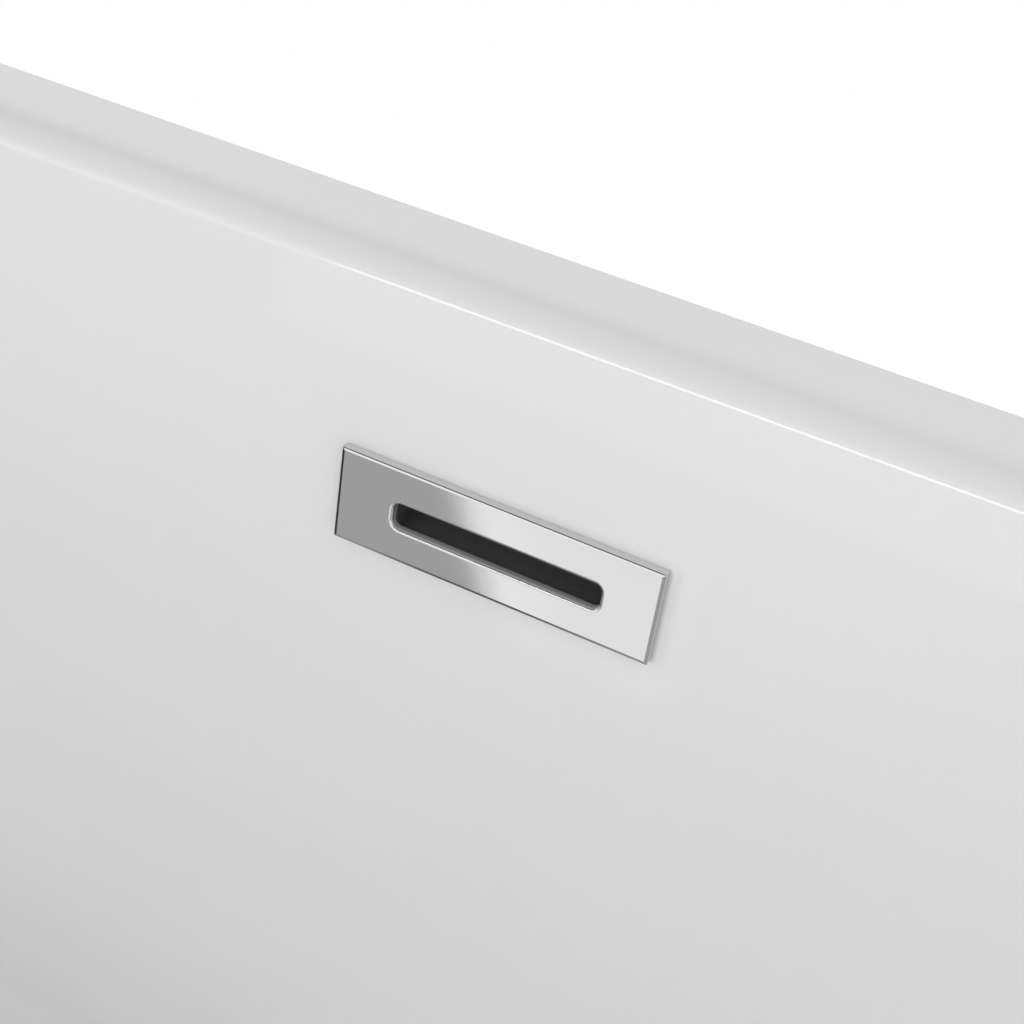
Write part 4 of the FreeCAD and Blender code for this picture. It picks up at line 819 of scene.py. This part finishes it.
def make_floor():
    """A pale floor with the tub's shadow, plain white farther away."""
    bm = bmesh.new()
    bmesh.ops.create_grid(bm, x_segments=1, y_segments=1, size=8)
    mat, shader = finish("pale_floor", grey(0.42), 0.6)
    away = add(mat, "VectorMath", operation="LENGTH")
    join(mat, place(mat, (0.5, 1, 1)), away.inputs[0])
    white = spread(mat, away.outputs["Value"], 0.6, 1.0, start=0.5, end=1.05)
    path = add(mat, "LightPath")
    seen = path.outputs["Is Camera Ray"]
    for ray in ("Is Glossy Ray", "Is Transmission Ray"):
        seen = combine(mat, "MAXIMUM", seen, path.outputs[ray])
    blend(mat, combine(mat, "MULTIPLY", white, seen), shader.outputs["BSDF"], glow(mat, 1.0))
    stand("floor", bm, mat)


def card(name, at, width, height, mat):
    """A flat card from two vectors, hung at a place and left out of everything but mirrored light."""
    bm = bmesh.new()
    bmesh.ops.create_grid(bm, x_segments=1, y_segments=1, size=0.5)
    hang = Matrix((width, height, width.cross(height))).transposed().to_4x4()
    bmesh.ops.transform(bm, matrix=Matrix.Translation(at) @ hang, verts=bm.verts)
    obj = stand(name, bm, mat)
    obj.visible_camera = obj.visible_diffuse = obj.visible_transmission = obj.visible_shadow = False


def plain_tone(name, level):
    """A glow of one tone."""
    mat = finish(name, grey(level), 0.9)[0]
    join(mat, glow(mat, level), surface(mat))
    return mat


def changing_tone(name, direction, start, end, stops):
    """A glow whose tone changes along a direction."""
    mat = finish(name, grey(0.5), 0.9)[0]
    slant = add(mat, "VectorMath", {1: direction}, operation="DOT_PRODUCT")
    join(mat, place(mat), slant.inputs[0])
    along = spread(mat, slant.outputs["Value"], 0.0, 1.0, start, end)
    shine = add(mat, "Emission")
    join(mat, ramp(mat, along, [(at, grey(tone)) for at, tone in stops]), shine.inputs["Color"])
    join(mat, shine.outputs["Emission"], surface(mat))
    return mat


def one_sided(mat):
    """Leaves a card's back clear."""
    front = surface(mat).links[0].from_socket
    side = add(mat, "NewGeometry")
    blend(mat, side.outputs["Backfacing"], front, add(mat, "BsdfTransparent").outputs["BSDF"])
    return mat


def make_cards():
    """Painted reflections for the plate, on glowing cards seen only in mirrors: a card from grey to white,
    white above it, black overhead, flags beside it.
    """
    along_wall, upright = Vector((1, 0, 0)), Vector((0, 0, 1))
    facing_y = -200 * MM
    # Painted reflection: grey where the plate's left part mirrors the card, white further right
    grey_to_white = changing_tone("grey_to_white", (1, 0, 0.6), -250 * MM, 150 * MM,
                                  [(0.53, 0.44), (0.59, 1.0), (0.61, 1.07), (0.74, 0.99)])
    card("grey_to_white_card", Vector((-195 * MM, facing_y, 308 * MM)), along_wall * 270 * MM,
         upright * 100 * MM, grey_to_white)
    card("white_card", Vector((0, facing_y, 475 * MM)), along_wall * 800 * MM, upright * 130 * MM,
         plain_tone("white_card", 1.1))
    # Painted dark reflection over the plate's top edge
    card("black_card", Vector((-20 * MM, 270 * MM, 585 * MM)), along_wall * 200 * MM,
         Vector((0, -140 * MM, 0)), one_sided(plain_tone("black_card_above", 0.05)))

    # Flags that stand out from the plate's edges, along the lines of sight that its bevels mirror: they paint
    # dark reflections into the bevels
    up_wall = ON_WALL.to_3x3() @ Vector((0, 1, 0))
    left_sight, sight = Vector((-0.42, -0.834, -0.36)), Vector((-0.33, -0.875, -0.355))
    flag_height, flag_half = 44 * MM, 64 * MM
    left_reach, lower_reach, right_reach = 60 * MM, 45 * MM, 20 * MM
    card("left_flag", ON_WALL @ Vector((-62 * MM, 0, 0)) + left_sight * left_reach / 2, up_wall * flag_height,
         left_sight * left_reach, plain_tone("black_card", 0.05))
    lower = changing_tone("lower_flag", (1, 0, 0), -flag_half, flag_half,
                          [(0.05, 0.34), (0.25, 0.13), (0.55, 0.13), (0.9, 0.34)])
    card("lower_flag", ON_WALL @ Vector((0, -21 * MM, 0)) + sight * lower_reach / 2,
         along_wall * 2 * flag_half, sight * lower_reach, lower)
    card("right_flag", ON_WALL @ Vector((64.5 * MM, 0, 0)) + sight * right_reach / 2, up_wall * flag_height,
         sight * right_reach, plain_tone("right_flag", 0.4))


# Light and camera

def make_world():
    """A pale room along the tub: white walls behind and in front, a dark gap over them, a bright ceiling."""
    world = bpy.data.worlds.new("room")
    bpy.context.scene.world = world
    world.use_nodes = True
    where = add(world, "TexCoord")
    across = add(world, "VectorMath", {1: (0, 1, 1)}, operation="MULTIPLY")
    level = add(world, "VectorMath", operation="NORMALIZE")
    split = add(world, "SeparateXYZ")
    join(world, where.outputs["Generated"], across.inputs[0])
    join(world, across.outputs["Vector"], level.inputs[0])
    join(world, level.outputs["Vector"], split.inputs["Vector"])
    tones = ramp(world, split.outputs["Z"],
                 [(0.665, grey(1)), (0.705, grey(0)), (0.74, grey(0.03)), (0.87, grey(0.6))])
    background = world.node_tree.nodes["Background"]
    background.inputs["Strength"].default_value = 1.13
    join(world, tones, background.inputs["Color"])


LIT_PLACE = Vector((0, 0.3, 0.4))


def lamp(name, at, size, power):
    """A soft rectangular light, turned to the lower back wall."""
    light = bpy.data.lights.new(name, "AREA")
    light.shape = "RECTANGLE"
    light.size, light.size_y = size
    light.energy = power
    obj = bpy.data.objects.new(name, light)
    obj.location = at
    obj.rotation_euler = (LIT_PLACE - Vector(at)).to_track_quat("-Z", "Y").to_euler()
    bpy.context.scene.collection.objects.link(obj)


def make_camera():
    """The camera, fitted to the plate's corners and the rim's lines."""
    camera = bpy.data.cameras.new("camera")
    camera.sensor_width, camera.lens = 36, 65.36
    camera.shift_y = 0.0542
    camera.clip_start = 0.01
    from_plate = Vector((0.19995, -0.37895, 0.44358))
    right = Vector((0.87866, 0.47694, 0.02238))
    down = Vector((0.35984, -0.63068, -0.68759))
    forward = Vector((-0.31381, 0.61220, -0.72576))
    turn = Matrix((right, -down, -forward)).transposed().to_4x4()
    obj = bpy.data.objects.new("camera", camera)
    obj.matrix_world = Matrix.Translation(OVERFLOW + from_plate) @ turn
    bpy.context.scene.collection.objects.link(obj)
    bpy.context.scene.camera = obj


make_floor()
make_cards()
make_world()
lamp("front_softbox", (-0.6, -1.9, 1.8), (1.4, 0.7), 15.6)
lamp("right_softbox", (1.3, -0.3, 2.2), (1.6, 1.6), 2.6)
make_camera()
bpy.context.scene.view_settings.view_transform = "Standard"
